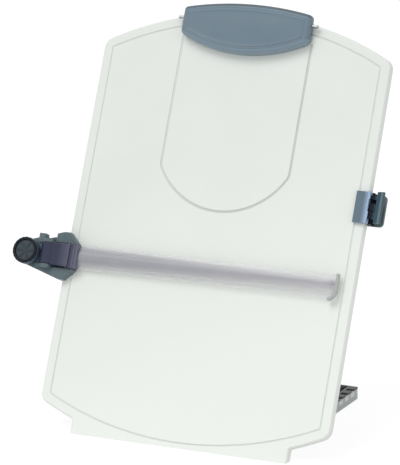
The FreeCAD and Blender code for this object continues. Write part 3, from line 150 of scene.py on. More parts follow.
def paint(piece, slots, pick):
    """Give the piece several materials by each face's centre and normal in the board frame."""
    piece.data.materials.clear()
    for material in slots:
        piece.data.materials.append(material)
    turned = TO_BOARD.to_3x3()
    for face in piece.data.polygons:
        face.material_index = pick(TO_BOARD @ face.center, turned @ face.normal)


def stored(name, build):
    """Mesh of that name with what was built."""
    mesh = bpy.data.meshes.new(name)
    build.to_mesh(mesh)
    build.free()
    return mesh


def welded(node):
    """A CAD node's mesh, opened for building, with its corners joined."""
    build = bmesh.new()
    build.from_mesh(frame["nodes"][node].data)
    bmesh.ops.remove_doubles(build, verts=build.verts, dist=CAD_WELD)
    return build


def mesh_of(name, points, faces):
    """Mesh from points in the board frame, welded and with its faces turned outwards."""
    build = bmesh.new()
    verts = [build.verts.new(BOARD @ Vector(p)) for p in points]
    for face in faces:
        build.faces.new([verts[k] for k in face])
    bmesh.ops.remove_doubles(build, verts=build.verts, dist=OWN_WELD)
    bmesh.ops.recalc_face_normals(build, faces=build.faces)
    return stored(name, build)


def loft(rings, close_ends=True):
    """Points and faces of a skin over closed rings of equal count, with flat or fanned ends."""
    count = len(rings[0])
    points = [p for ring in rings for p in ring]
    faces = []
    for k in range(len(rings) - 1):
        for j in range(count):
            nxt = (j + 1) % count
            faces.append((k * count + j, k * count + nxt,
                          (k + 1) * count + nxt, (k + 1) * count + j))
    if close_ends:
        faces.append(tuple(range(count)))
        last = (len(rings) - 1) * count
        faces.append(tuple(range(last, last + count)))
    return points, faces


def finished(piece):
    """Put the piece's modifiers into its mesh."""
    graph = bpy.context.evaluated_depsgraph_get()
    mesh = bpy.data.meshes.new_from_object(piece.evaluated_get(graph))
    piece.modifiers.clear()
    piece.data = mesh
    return piece


FLAT_ANGLE = math.radians(0.6)      # faces that turn by less than this are one flat face
ROUNDED_ANGLE = math.radians(38)    # edges that turn by more than this are rounded
SHARP_ANGLE = math.radians(50)      # edges that then still turn by more shade as sharp
ROUND_STEPS = 2
# Nodes with many openings in one flat face, which would overlap itself once its edges are
# rounded. It is cut into triangles first, in the way that leaves fewest of them folded over.
OPEN_FACED = {"prop_leg": "BEAUTY", "base_plate": "EAR_CLIP"}


def softened(node, width, material):
    """A moulding of the CAD node's shape with its edges rounded by width."""
    build = welded(node)
    bmesh.ops.dissolve_limit(build, angle_limit=FLAT_ANGLE, verts=build.verts,
                             edges=build.edges, delimit={"NORMAL"})
    if node in OPEN_FACED:
        bmesh.ops.triangulate(build, faces=[f for f in build.faces if len(f.verts) > 4],
                              ngon_method=OPEN_FACED[node])
    name = node + "_moulded"
    piece = new_piece(name, stored(name, build), body_of(node), material, (node,))
    bevel = piece.modifiers.new("rounding", "BEVEL")
    bevel.width = width
    bevel.segments = ROUND_STEPS
    bevel.limit_method = "ANGLE"
    bevel.angle_limit = ROUNDED_ANGLE
    bevel.miter_outer = "MITER_ARC"
    bevel.use_clamp_overlap = True
    finished(piece)
    piece.data.shade_smooth()
    piece.data.set_sharp_from_angle(angle=SHARP_ANGLE)
    flat = piece.modifiers.new("flat faces", "WEIGHTED_NORMAL")
    flat.keep_sharp = True
    return finished(piece)


# ---------------------------------------------------------------- materials
def node_tree(name):
    """A new material with its node tree and its main shader."""
    material = bpy.data.materials.new(name)
    material.use_nodes = True
    tree = material.node_tree
    tree.nodes.clear()
    shader = tree.nodes.new("ShaderNodeBsdfPrincipled")
    output = tree.nodes.new("ShaderNodeOutputMaterial")
    tree.links.new(shader.outputs["BSDF"], output.inputs["Surface"])
    return material, tree, shader


def linear(rgb):
    """Linear colour of an sRGB colour given as 0 to 255."""
    values = []
    for channel in rgb:
        c = channel / 255
        values.append(c / 12.92 if c <= 0.04045 else ((c + 0.055) / 1.055) ** 2.4)
    return (*values, 1)


def noise(tree, scale, detail=3.0, rough=0.55, stretch=(1, 1, 1)):
    """Cloudy value from 0 to 1 over the piece, finer with a larger scale."""
    coords = tree.nodes.new("ShaderNodeTexCoord")
    mapping = tree.nodes.new("ShaderNodeMapping")
    mapping.inputs["Scale"].default_value = stretch
    texture = tree.nodes.new("ShaderNodeTexNoise")
    texture.inputs["Scale"].default_value = scale
    texture.inputs["Detail"].default_value = detail
    texture.inputs["Roughness"].default_value = rough
    tree.links.new(coords.outputs["Object"], mapping.inputs["Vector"])
    tree.links.new(mapping.outputs["Vector"], texture.inputs["Vector"])
    return texture.outputs["Fac"]


def ramp(tree, value, low, high):
    """Value stretched between two limits to 0 and 1."""
    spread = tree.nodes.new("ShaderNodeMapRange")
    spread.inputs["From Min"].default_value = low
    spread.inputs["From Max"].default_value = high
    tree.links.new(value, spread.inputs["Value"])
    return spread.outputs["Result"]


def blend_colours(tree, fac, first, second):
    """First colour where fac is 0 and second where it is 1; each a socket or a colour."""
    mix = tree.nodes.new("ShaderNodeMix")
    mix.data_type = "RGBA"
    tree.links.new(fac, mix.inputs["Factor"])
    for socket, colour in ((mix.inputs["A"], first), (mix.inputs["B"], second)):
        if isinstance(colour, bpy.types.NodeSocket):
            tree.links.new(colour, socket)
        else:
            socket.default_value = colour
    return mix.outputs["Result"]


def roughness_range(tree, shader, value, low, high):
    """Let a value from 0 to 1 move the shader's roughness between two limits."""
    spread = tree.nodes.new("ShaderNodeMapRange")
    spread.inputs["To Min"].default_value = low
    spread.inputs["To Max"].default_value = high
    tree.links.new(value, spread.inputs["Value"])
    tree.links.new(spread.outputs["Result"], shader.inputs["Roughness"])


def bump(tree, shader, height, distance):
    """Let a value from 0 to 1 raise the surface's shading by up to a distance."""
    node = tree.nodes.new("ShaderNodeBump")
    node.inputs["Distance"].default_value = distance
    tree.links.new(height, node.inputs["Height"])
    tree.links.new(node.outputs["Normal"], shader.inputs["Normal"])


def calc(tree, operation, first, second=0.0):
    """Result of a sum on two values, each a socket or a number."""
    node = tree.nodes.new("ShaderNodeMath")
    node.operation = operation
    for socket, value in zip(node.inputs, (first, second)):
        if isinstance(value, bpy.types.NodeSocket):
            tree.links.new(value, socket)
        else:
            socket.default_value = value
    return node.outputs["Value"]


def place_on(tree, direction):
    """Distance of the shaded point from the row frame's origin along a direction."""
    coords = tree.nodes.new("ShaderNodeTexCoord")
    node = tree.nodes.new("ShaderNodeVectorMath")
    node.operation = "DOT_PRODUCT"
    node.inputs[1].default_value = direction
    tree.links.new(coords.outputs["Object"], node.inputs[0])
    return node.outputs["Value"]


def between(tree, value, low, high, soft):
    """1 where a value lies between two limits, with soft ends, and 0 elsewhere."""
    return calc(tree, "MULTIPLY", ramp(tree, value, low - soft, low + soft),
                ramp(tree, value, high + soft, high - soft))


PLASTIC_IOR = 1.46
GRAIN_DEEP = 0.04 * MM
CLOUD_SCALE = 14          # of the slow drift of a plastic's colour


def moulded_plastic(name, dark, light, rough=(0.38, 0.5), grain=1400, shine=0.5, marks=None):
    """Moulded plastic with a fine spark-eroded grain and a slow drift of its colour."""
    material, tree, shader = node_tree(name)
    clouds = ramp(tree, noise(tree, CLOUD_SCALE, 2.0), 0.35, 0.65)
    colour = blend_colours(tree, clouds, linear(dark), linear(light))
    # marks, where given, paint light and shade into the colour
    if marks:
        colour = marks(tree, colour)
    tree.links.new(colour, shader.inputs["Base Color"])
    fine = noise(tree, grain, 2.0, 0.6)
    roughness_range(tree, shader, fine, *rough)
    bump(tree, shader, fine, GRAIN_DEEP)
    shader.inputs["IOR"].default_value = PLASTIC_IOR
    shader.inputs["Specular IOR Level"].default_value = shine
    return material


def rubber(name, dark, light):
    """Matt rubber with a dusty bloom."""
    material, tree, shader = node_tree(name)
    dust = ramp(tree, noise(tree, 90, 6.0, 0.65), 0.4, 0.75)
    tree.links.new(blend_colours(tree, dust, linear(dark), linear(light)),
                   shader.inputs["Base Color"])
    fine = noise(tree, 2600, 2.0)
    roughness_range(tree, shader, fine, 0.7, 0.9)
    bump(tree, shader, fine, 0.05 * MM)
    shader.inputs["Specular IOR Level"].default_value = 0.3
    return material


def felt(name, dark, light):
    """Short wool fibres."""
    material, tree, shader = node_tree(name)
    fibres = ramp(tree, noise(tree, 900, 8.0, 0.7, (1, 1, 3)), 0.3, 0.7)
    tree.links.new(blend_colours(tree, fibres, linear(dark), linear(light)),
                   shader.inputs["Base Color"])
    shader.inputs["Roughness"].default_value = 0.95
    shader.inputs["Sheen Weight"].default_value = 0.3
    bump(tree, shader, fibres, 0.15 * MM)
    return material


def steel(name, dark, light, rough=(0.22, 0.4)):
    """Zinc-plated steel with fine drawing marks."""
    material, tree, shader = node_tree(name)
    marks = noise(tree, 400, 4.0, 0.6, (1, 6, 6))
    tree.links.new(blend_colours(tree, ramp(tree, marks, 0.3, 0.7), linear(dark), linear(light)),
                   shader.inputs["Base Color"])
    shader.inputs["Metallic"].default_value = 1.0
    roughness_range(tree, shader, marks, *rough)
    bump(tree, shader, marks, 0.01 * MM)
    return material


# ---------------------------------------------------------------- painted light and shade on the plastics
PALE_FROM, PALE_TO = 250 * MM, 50 * MM    # the board's lower half gets paler over this height, painted light
PALE_SLANT = 0.5                          # and a little higher up on its right side
GROOVE = (0.4 * MM, 0.7 * MM, 0.06 * MM)  # depth of the moulded lines' bottoms, which get painted shade, and its blur
PANEL_HALF = (58 * MM, 56 * MM)           # the panel's line lies nearer the middle than this
PANEL_UP = (150 * MM, 160 * MM)           # and higher than this
PANEL_SLANT = 0.5
PANEL_DEEPER = (-200 * MM, -100 * MM)     # its painted shade deepens over this reach to the lower right
PLATE_HIGHLIGHT = (117 * MM, 121 * MM)         # the side clip's plate gets paler over this reach, a painted highlight
NOTCH_FLOOR = 7.4 * MM                    # height of the rails' notch floors above the desk
NOTCH_HIGHLIGHT = (0.34, 0.24)                 # half width of a notch's painted highlight, in pitches
NOTCHED_FROM = (-0.51, -0.5)              # the notches start here, in pitches from the first
# lower edge of the notches' painted highlights
NOTCH_HIGHLIGHT_LOW = 5.2 * MM
RAIL_SHADE_LOW = 9.1 * MM                     # height of the lower edge of the upper strip's painted shade
WING_GAP_SHADE = (127.6 * MM, 127.0 * MM)       # the gap beside the ridge, painted shade, ends over this reach
# the wing's outer edge carries a painted highlight over this reach
WING_HIGHLIGHT = (131.8 * MM, 133.8 * MM)
MARK_SOFT = 0.3 * MM                      # blur of the rails' and the wing's painted light and shade
BAR_BAND_UP = 1.2 * MM                   # middle of the bar's grey band, part tint and part painted reflection
BAR_BAND_HALF = 4.2 * MM                 # half width of that part at the bar's middle
BAR_BAND_TAPER = -0.0235                 # and what it gains per metre to the right
BAR_BAND_SOFT = 2.2 * MM
BAR_SLOPE_SHADE = (0.4 * MM, 4.0 * MM, 1.2 * MM)    # the ridge's upper slope, which gets painted shade, and its blur
BAR_SLOPE_SHADE_SHARE = 0.5                     # how far that slope turns to its painted shade
BAR_EDGE_ALPHA = 0.2
ACRYLIC_IOR = 1.49


def board_light_and_shade(tree, colour):
    """Paler lower half, painted light, and painted shade in the bottoms of the two moulded lines.
    """
    up, across = place_on(tree, UP_BOARD), place_on(tree, (1, 0, 0))
    slant = calc(tree, "SUBTRACT", up, calc(tree, "MULTIPLY", across, PALE_SLANT))
    colour = blend_colours(tree, ramp(tree, slant, PALE_FROM, PALE_TO), colour,
                           linear((249, 253, 248)))
    depth = calc(tree, "SUBTRACT", FRONT_AT, place_on(tree, OUT_OF_BOARD))
    groove = between(tree, depth, *GROOVE)
    panel = calc(tree, "MULTIPLY", ramp(tree, calc(tree, "ABSOLUTE", across), *PANEL_HALF),
                 ramp(tree, up, *PANEL_UP))
    lower_right = calc(tree, "SUBTRACT", across, calc(tree, "MULTIPLY", up, PANEL_SLANT))
    deep = blend_colours(tree, ramp(tree, lower_right, *PANEL_DEEPER),
                         linear((228, 232, 227)), linear((212, 217, 212)))
    shade = blend_colours(tree, panel, linear((231, 235, 230)), deep)
    return blend_colours(tree, groove, colour, shade)


def jaw_highlight(tree, colour):
    """The side clip's plate gets paler towards the ridge beside its hinge, a painted highlight."""
    return blend_colours(tree, ramp(tree, place_on(tree, (1, 0, 0)), *PLATE_HIGHLIGHT), colour,
                         linear((164, 189, 216)))


def holder_highlight(tree, colour):
    """The bar's holder gets paler towards the bar, a painted highlight."""
    low, high = span("bar_holder")
    return blend_colours(tree, ramp(tree, place_on(tree, (1, 0, 0)), (low.x + high.x) / 2, high.x),
                         colour, linear((106, 107, 126)))


def rail_light_and_shade(tree, colour):
    """Painted shade on an upper strip over a light wall, and a painted highlight below each notch.
    """
    ends = sorted({round(v.co.y, 4) for v in frame["nodes"]["notch_rails"].data.vertices
                   if abs(v.co.z - NOTCH_FLOOR) < 0.2 * MM})
    first, last = (ends[0] + ends[1]) / 2, (ends[-2] + ends[-1]) / 2
    pitch = (last - first) / (len(ends) // 2 - 1)
    height = place_on(tree, (0, 0, 1))
    turn = calc(tree, "DIVIDE", calc(tree, "SUBTRACT", place_on(tree, (0, 1, 0)), first), pitch)
    notched = ramp(tree, turn, *NOTCHED_FROM)
    off = calc(tree, "ABSOLUTE", calc(tree, "SUBTRACT", turn, calc(tree, "ROUND", turn)))
    pale = calc(tree, "MULTIPLY", ramp(tree, off, *NOTCH_HIGHLIGHT),
                calc(tree, "MULTIPLY", notched,
                     between(tree, height, NOTCH_HIGHLIGHT_LOW, RAIL_SHADE_LOW, MARK_SOFT)))
    colour = blend_colours(tree, pale, colour, linear((236, 239, 238)))
    return blend_colours(tree, ramp(tree, height, RAIL_SHADE_LOW - 0.2 * MM, RAIL_SHADE_LOW + 0.2 * MM),
                         colour, linear((70, 74, 76)))


def wing_light_and_shade(tree, colour):
    """Painted highlight along the finger wing's outer edge, and painted shade for the gap beside
    the ridge.
    """
    across = place_on(tree, (1, 0, 0))
    colour = blend_colours(tree, ramp(tree, across, *WING_GAP_SHADE), colour, linear((12, 20, 34)))
    return blend_colours(tree, between(tree, across, *WING_HIGHLIGHT, MARK_SOFT), colour,
                         linear((108, 128, 133)))


def bar_plastic():
    """Clear acrylic whose grey middle, part tint, part painted reflection, narrows to the free
    end.
    """
    material, tree, shader = node_tree("bar plastic")
    low, high = span("guide_bar")
    up = calc(tree, "SUBTRACT", place_on(tree, UP_BOARD),
              (BOARD @ Vector((0, low.y, (low.z + high.z) / 2 + BAR_BAND_UP))).dot(UP_BOARD))
    half = calc(tree, "ADD", calc(tree, "MULTIPLY", place_on(tree, (1, 0, 0)), BAR_BAND_TAPER),
                BAR_BAND_HALF)
    band = ramp(tree, calc(tree, "SUBTRACT", calc(tree, "ABSOLUTE", up), half),
                 BAR_BAND_SOFT, -BAR_BAND_SOFT)
    haze = ramp(tree, noise(tree, 60, 3.0), 0.3, 0.7)
    left = blend_colours(tree, haze, linear((157, 159, 165)), linear((164, 165, 171)))
    right = blend_colours(tree, haze, linear((176, 176, 182)), linear((182, 182, 188)))
    core = blend_colours(tree, ramp(tree, place_on(tree, (1, 0, 0)), low.x, high.x), left, right)
    # painted shade on the middle's upper slope
    slope = calc(tree, "MULTIPLY", between(tree, up, *BAR_SLOPE_SHADE), BAR_SLOPE_SHADE_SHARE)
    core = blend_colours(tree, slope, core, linear((150, 151, 157)))
    tree.links.new(blend_colours(tree, band, linear((248, 247, 250)), core),
                   shader.inputs["Base Color"])
    tree.links.new(calc(tree, "ADD", calc(tree, "MULTIPLY", band, 1 - BAR_EDGE_ALPHA),
                        BAR_EDGE_ALPHA), shader.inputs["Alpha"])
    shader.inputs["IOR"].default_value = ACRYLIC_IOR
    roughness_range(tree, shader, noise(tree, 900, 2.0), 0.22, 0.34)
    return material


# ---------------------------------------------------------------- the materials
GLOSSY = {"rough": (0.28, 0.4), "grain": 1600}
SATIN = {"rough": (0.3, 0.44), "grain": 1500}
MATT = {"rough": (0.34, 0.48), "grain": 900}
BOARD_PLASTIC = moulded_plastic("board plastic", (237, 242, 236), (241, 245, 240),
                                rough=(0.34, 0.46), grain=1100, marks=board_light_and_shade)
CLIP_PLASTIC = moulded_plastic("clip plastic", (97, 117, 132), (106, 124, 140),
                               **GLOSSY, marks=jaw_highlight)
COVER_PLASTIC = moulded_plastic("clip cover plastic", (104, 126, 140), (113, 133, 146),
                                **GLOSSY)
# darker copy of the cover's plastic for its upper edge, painted shade
COVER_TOP_SHADE = moulded_plastic("clip cover top painted shade", (80, 97, 109), (88, 104, 115),
                                    **GLOSSY)
# lighter copy for its lower edge, a painted highlight
COVER_LOW_HIGHLIGHT = moulded_plastic("clip cover lower painted highlight", (124, 145, 160),
                                    (132, 152, 166), **GLOSSY)
# paler copy of the clip's plastic for the side clip's ridge, a painted highlight
RIDGE_HIGHLIGHT = moulded_plastic("ridge painted highlight", (160, 186, 214), (168, 192, 218), **GLOSSY)
CARRIAGE_PLASTIC = moulded_plastic("carriage plastic", (87, 104, 110), (101, 118, 123),
                                   rough=(0.3, 0.42), grain=1600)
HOLDER_PLASTIC = moulded_plastic("holder plastic", (31, 38, 64), (39, 46, 74),
                                 **SATIN, marks=holder_highlight)
WING_PLASTIC = moulded_plastic("wing plastic", (56, 78, 93), (66, 90, 105),
                               **SATIN, shine=0.2, marks=wing_light_and_shade)
KNOB_PLASTIC = moulded_plastic("knob plastic", (18, 23, 29), (27, 33, 39),
                               rough=(0.3, 0.42), grain=900, shine=0.2)
# lighter copy of the knob's plastic for its ring's flank, painted light
FLANK_LIGHT = moulded_plastic("knob flank painted light", (80, 98, 116), (92, 110, 127),
                                **MATT, shine=0.3)
DIAL_PLASTIC = moulded_plastic("dial plastic", (42, 56, 65), (54, 69, 78), **MATT)
SPOKE_PLASTIC = moulded_plastic("spoke plastic", (34, 46, 54), (44, 56, 64), **MATT)
BASE_PLASTIC = moulded_plastic("base plastic", (76, 80, 82), (88, 92, 94), grain=1500)
RAIL_PLASTIC = moulded_plastic("rail plastic", (188, 193, 193), (197, 201, 201), grain=1500,
                               marks=rail_light_and_shade)
LEG_PLASTIC = moulded_plastic("leg plastic", (66, 70, 76), (80, 84, 90), grain=1500)
BAR_PLASTIC = bar_plastic()
CAP_PLASTIC = moulded_plastic("bar cap plastic", (182, 184, 184), (190, 192, 192),
                              rough=(0.2, 0.32), grain=1200)
CLIP_BACK_PLASTIC = moulded_plastic("side clip plastic", (88, 104, 110), (100, 116, 120),
                                    rough=(0.34, 0.48), grain=1500)
RUBBER = rubber("rubber", (38, 40, 43), (60, 62, 66))
MAT_RUBBER = rubber("mat rubber", (84, 88, 90), (102, 106, 108))
FELT = felt("felt", (52, 54, 58), (84, 86, 90))
STEEL = steel("zinc plated steel", (150, 152, 156), (196, 198, 200))
SPRING_STEEL = steel("spring steel", (96, 98, 102), (150, 152, 156))
BLACK_STEEL = steel("black steel", (8, 16, 26), (18, 28, 40), rough=(0.45, 0.6))

# ---------------------------------------------------------------- CAD nodes that show themselves
FINISHES = {
    "board_panel": BOARD_PLASTIC, "clip_bracket": STEEL, "clip_jaw_pad": RUBBER,
    "carriage_pad": FELT, "knob_washer": STEEL, "side_clip_pad": FELT,
    "side_clip_grip": RUBBER, "base_feet": RUBBER,
}


def finish_cad_nodes():
    """Give each CAD node that no piece replaces its material."""
    for name, material in FINISHES.items():
        for slot in frame["nodes"][name].material_slots:
            slot.material = material


# ---------------------------------------------------------------- shared shapes
def islands(node):
    """(low, high) corners in the board frame of each separate solid of a CAD node."""
    build = welded(node)
    left = set(build.verts)
    found = []
    while left:
        stack, members = [left.pop()], []
        while stack:
            vert = stack.pop()
            members.append(TO_BOARD @ vert.co)
            for edge in vert.link_edges:
                other = edge.other_vert(vert)
                if other in left:
                    left.remove(other)
                    stack.append(other)
        found.append(corners(members))
    build.free()
    return sorted(found, key=lambda pair: tuple(pair[0]))


def combined(shapes):
    """One (points, faces) pair from several."""
    points, faces = [], []
    for more_points, more_faces in shapes:
        first = len(points)
        points.extend(more_points)
        faces.extend(tuple(first + k for k in face) for face in more_faces)
    return points, faces


def round_frame(axis):
    """Two unit vectors square to axis and to each other."""
    axis = Vector(axis).normalized()
    side = axis.orthogonal().normalized()
    return axis, side, axis.cross(side)


def lathe(profile, start, axis, turns=40, scale=None):
    """Skin of revolution over (along, radius) pairs; scale(angle, along) may change a radius."""
    axis, side, up = round_frame(axis)
    rings = []
    for along, radius in profile:
        ring = []
        for k in range(turns):
            angle = 2 * math.pi * k / turns
            r = radius * (scale(angle, along) if scale else 1)
            ring.append(start + axis * along + side * (r * math.cos(angle))
                        + up * (r * math.sin(angle)))
        rings.append(ring)
    return loft(rings, close_ends=False)


def tube(path, radius, sides=10):
    """Round wire along a path of points, with closed ends."""
    rings = []
    normal = None
    for k, point in enumerate(path):
        ahead = (path[min(k + 1, len(path) - 1)] - path[max(k - 1, 0)]).normalized()
        if normal is None:
            normal = ahead.orthogonal().normalized()
        normal = (normal - ahead * normal.dot(ahead)).normalized()
        across = ahead.cross(normal)
        rings.append([point + normal * (radius * math.cos(2 * math.pi * j / sides))
                      + across * (radius * math.sin(2 * math.pi * j / sides))
                      for j in range(sides)])
    return loft(rings)


def coil(start, axis, mean_radius, length, turns, steps=20):
    """Points of a helix along axis."""
    axis, side, up = round_frame(axis)
    count = int(turns * steps)
    return [start + axis * (length * k / count)
            + side * (mean_radius * math.cos(2 * math.pi * k / steps))
            + up * (mean_radius * math.sin(2 * math.pi * k / steps))
            for k in range(count + 1)]


def rod_profile(length, radius, chamfer):
    """A turned rod with chamfered ends."""
    return [(0, TINY), (0, radius - chamfer), (chamfer, radius), (length - chamfer, radius),
            (length, radius - chamfer), (length, TINY)]


def turned_rods(node, along, chamfer, material):
    """Every solid of a node as a turned rod along the board frame's axis of that number."""
    shapes = []
    for low, high in islands(node):
        start = (low + high) / 2
        start[along] = low[along]
        across = (along + 1) % 3
        radius = (high[across] - low[across]) / 2
        axis = Vector([float(k == along) for k in range(3)])
        profile = rod_profile(high[along] - low[along], radius, chamfer)
        shapes.append(lathe(profile, start, axis))
    new_piece(node + "_turned", mesh_of(node, *combined(shapes)), body_of(node), material,
              (node,))


# ---------------------------------------------------------------- screws
SCREW_SHANK_R = 1.5 * MM
SCREW_HEAD_T = 1.2 * MM
SCREW_POINT = 0.6 * MM    # length of the shank's tapered tip
SCREW_CROWN = ((0.06, 0.74), (0.22, 0.9), (0.55, 0.98), (0.9, 1))  # mm down, share of radius
RECESS_REACH = 0.6        # reach of the cross recess, as a share of the head's radius
RECESS_FLOOR = 0.7        # reach of its bottom, as a share of its reach at the top
RECESS_DEEP = 0.9 * MM


def cross_ring(centre, side, up, reach):
    """24 points round a cross whose arms reach that far."""
    arm = reach * math.tan(math.radians(15))
    quarter = [(reach, 0), (reach, arm), ((reach + arm) / 2, arm), (arm, arm),
               (arm, (reach + arm) / 2), (arm, reach)]
    points = []
    for turn in range(4):
        c, s = round(math.cos(turn * math.pi / 2)), round(math.sin(turn * math.pi / 2))
        points += [centre + side * (a * c - b * s) + up * (a * s + b * c) for a, b in quarter]
    return points


def screw(top, axis, head_r, length):
    """Pan-head screw with a cross recess; axis points from the head to the tip."""
    axis, side, up = round_frame(axis)
    reach = head_r * RECESS_REACH
    rings = [cross_ring(top + axis * RECESS_DEEP, side, up, reach * RECESS_FLOOR),
             cross_ring(top + axis * 0.04 * MM, side, up, reach)]
    profile = [(down * MM, share * head_r) for down, share in SCREW_CROWN]
    profile += [(SCREW_HEAD_T, head_r), (SCREW_HEAD_T, SCREW_SHANK_R),
                (length - SCREW_POINT, SCREW_SHANK_R), (length, 0.6 * SCREW_SHANK_R)]
    for along, radius in profile:
        rings.append([top + axis * along + side * (radius * math.cos(math.radians(15 * k)))
                      + up * (radius * math.sin(math.radians(15 * k))) for k in range(24)])
    return loft(rings)


def cross_screws(node, head_in_front):
    """Pan-head screws for every solid of a node, which lie along the board's depth."""
    shapes = []
    for low, high in islands(node):
        top = Vector(((low.x + high.x) / 2, low.y if head_in_front else high.y,
                      (low.z + high.z) / 2))
        axis = (0, 1 if head_in_front else -1, 0)
        shapes.append(screw(top, axis, (high.x - low.x) / 2, high.y - low.y))
    new_piece(node + "_turned", mesh_of(node, *combined(shapes)), body_of(node), STEEL,
              (node,), smooth_below=30)


# ---------------------------------------------------------------- plates with eased edges
def plate_ring(low, high, radii, inset, t, steps=7):
    """Rounded rectangle in the board's plane; radii go round from the lower left corner."""
    starts = ((low.x, low.z, 180), (high.x, low.z, 270), (high.x, high.z, 0),
              (low.x, high.z, 90))
    points = []
    for (x, s, start), radius in zip(starts, radii):
        inward_x = 1 if x == low.x else -1
        inward_s = 1 if s == low.z else -1
        r = max(radius - inset, 0.1 * MM)
        centre_x = x + inward_x * (inset + r)
        centre_s = s + inward_s * (inset + r)
        for k in range(steps):
            angle = math.radians(start + 90 * k / (steps - 1))
            points.append(Vector((centre_x + r * math.cos(angle), t,
                                  centre_s + r * math.sin(angle))))
    return points


def plate(low, high, radii, layers):
    """Plate between two corners, with one ring for each (inset, depth) layer."""
    return loft([plate_ring(low, high, radii, inset, t) for inset, t in layers])


# ---------------------------------------------------------------- page clip
CLIP_TOP_R = 260.4 * MM   # radius of the cover's top edge, which follows the board's top
CLIP_LOW_RISE = 12.6 * MM
CLIP_CORNER = 3.0 * MM
CLIP_ROUND = 3.6 * MM     # rounding from the cover's sides to its front
CLIP_ROUND_STEPS = 7
CLIP_STEP_IN = 4.6 * MM   # the sunk middle starts this far inside the edge
CLIP_STEP_DEEP = 0.45 * MM
CLIP_CROWN = 0.25 * MM    # the middle rises again by this much towards its centre
CLIP_WALL = 2.0 * MM
CLIP_RIM_LOW = 0.3 * MM   # gap between the cover's rim and the board, at its lower edge
CLIP_RIM_TOP = 3.4 * MM   # and at its upper edge
CLIP_RIM_EASE = 0.3 * MM  # chamfer on both sides of the rim
CLIP_INNER_IN = 9 * MM    # the inside's last full ring lies this far in from the edge
CLIP_OUTER_IN = 8 * MM    # and so does the outside's, where the crown starts
# Share of that ring's size and share of the crown's height, towards the centre.
CLIP_CROWN_RINGS = ((0.8, 0.3), (0.6, 0.6), (0.4, 0.85), (0.2, 0.97), (0.02, 1.0))
CLIP_LOW, CLIP_HIGH = span("clip_cover")
CLIP_LOW_R = (CLIP_HIGH.x ** 2 + CLIP_LOW_RISE ** 2) / (2 * CLIP_LOW_RISE)
CLIP_EAR_R = 2.8 * MM     # radius of the lugs in the cover that carry its pin
CLIP_EAR_W = 3.0 * MM
CLIP_EAR_GAP = 0.3 * MM   # between them and the bracket's ears
FRONT_FACING = 0.97       # faces of the cover that look forward by more than this are its front
EDGE_FACING = 0.2         # and those that look up or down by more than this are its edges, with painted shade above and a painted highlight below


def bend(a, corner, b, steps=6):
    """Points of a soft corner between a and b, without its ends."""
    return [a.lerp(corner, k / steps).lerp(corner.lerp(b, k / steps), k / steps)
            for k in range(1, steps)]


def clip_ring(inset, depth):
    """The cover's outline drawn in by inset; depth(s) gives how far it stands off the board."""
    half = CLIP_HIGH.x - inset
    ease = max(CLIP_CORNER - inset, 0.8 * MM)

    def top(x):
        return CLIP_HIGH.z - CLIP_TOP_R + math.sqrt((CLIP_TOP_R - inset) ** 2 - x ** 2)

    def bottom(x):
        return CLIP_LOW.z + CLIP_LOW_R - math.sqrt((CLIP_LOW_R - inset) ** 2 - x ** 2)

    def edge(curve, x_from, x_to, count=32):
        xs = [x_from + (x_to - x_from) * k / count for k in range(count + 1)]
        return [Vector((x, curve(x))) for x in xs]

    upper = edge(top, -half + ease, half - ease)
    lower = edge(bottom, half - ease, -half + ease)
    right = [Vector((half, top(half) - ease)), Vector((half, bottom(half) + ease))]
    left = [Vector((-half, bottom(half) + ease)), Vector((-half, top(half) - ease))]
    path = upper + bend(upper[-1], Vector((half, top(half))), right[0]) + right
    path += bend(right[1], Vector((half, bottom(half))), lower[0]) + lower
    path += bend(lower[-1], Vector((-half, bottom(half))), left[0]) + left
    path += bend(left[1], Vector((-half, top(half))), upper[0])
    return [Vector((p.x, -depth(p.y), p.y)) for p in path]


def shrunk(ring, share, rise=0.0):
    """A ring drawn in towards its middle to a share of its size."""
    middle = sum(ring, Vector((0, 0, 0))) / len(ring)
    return [Vector((middle.x + (p.x - middle.x) * share, p.y - rise,
                    middle.z + (p.z - middle.z) * share)) for p in ring]


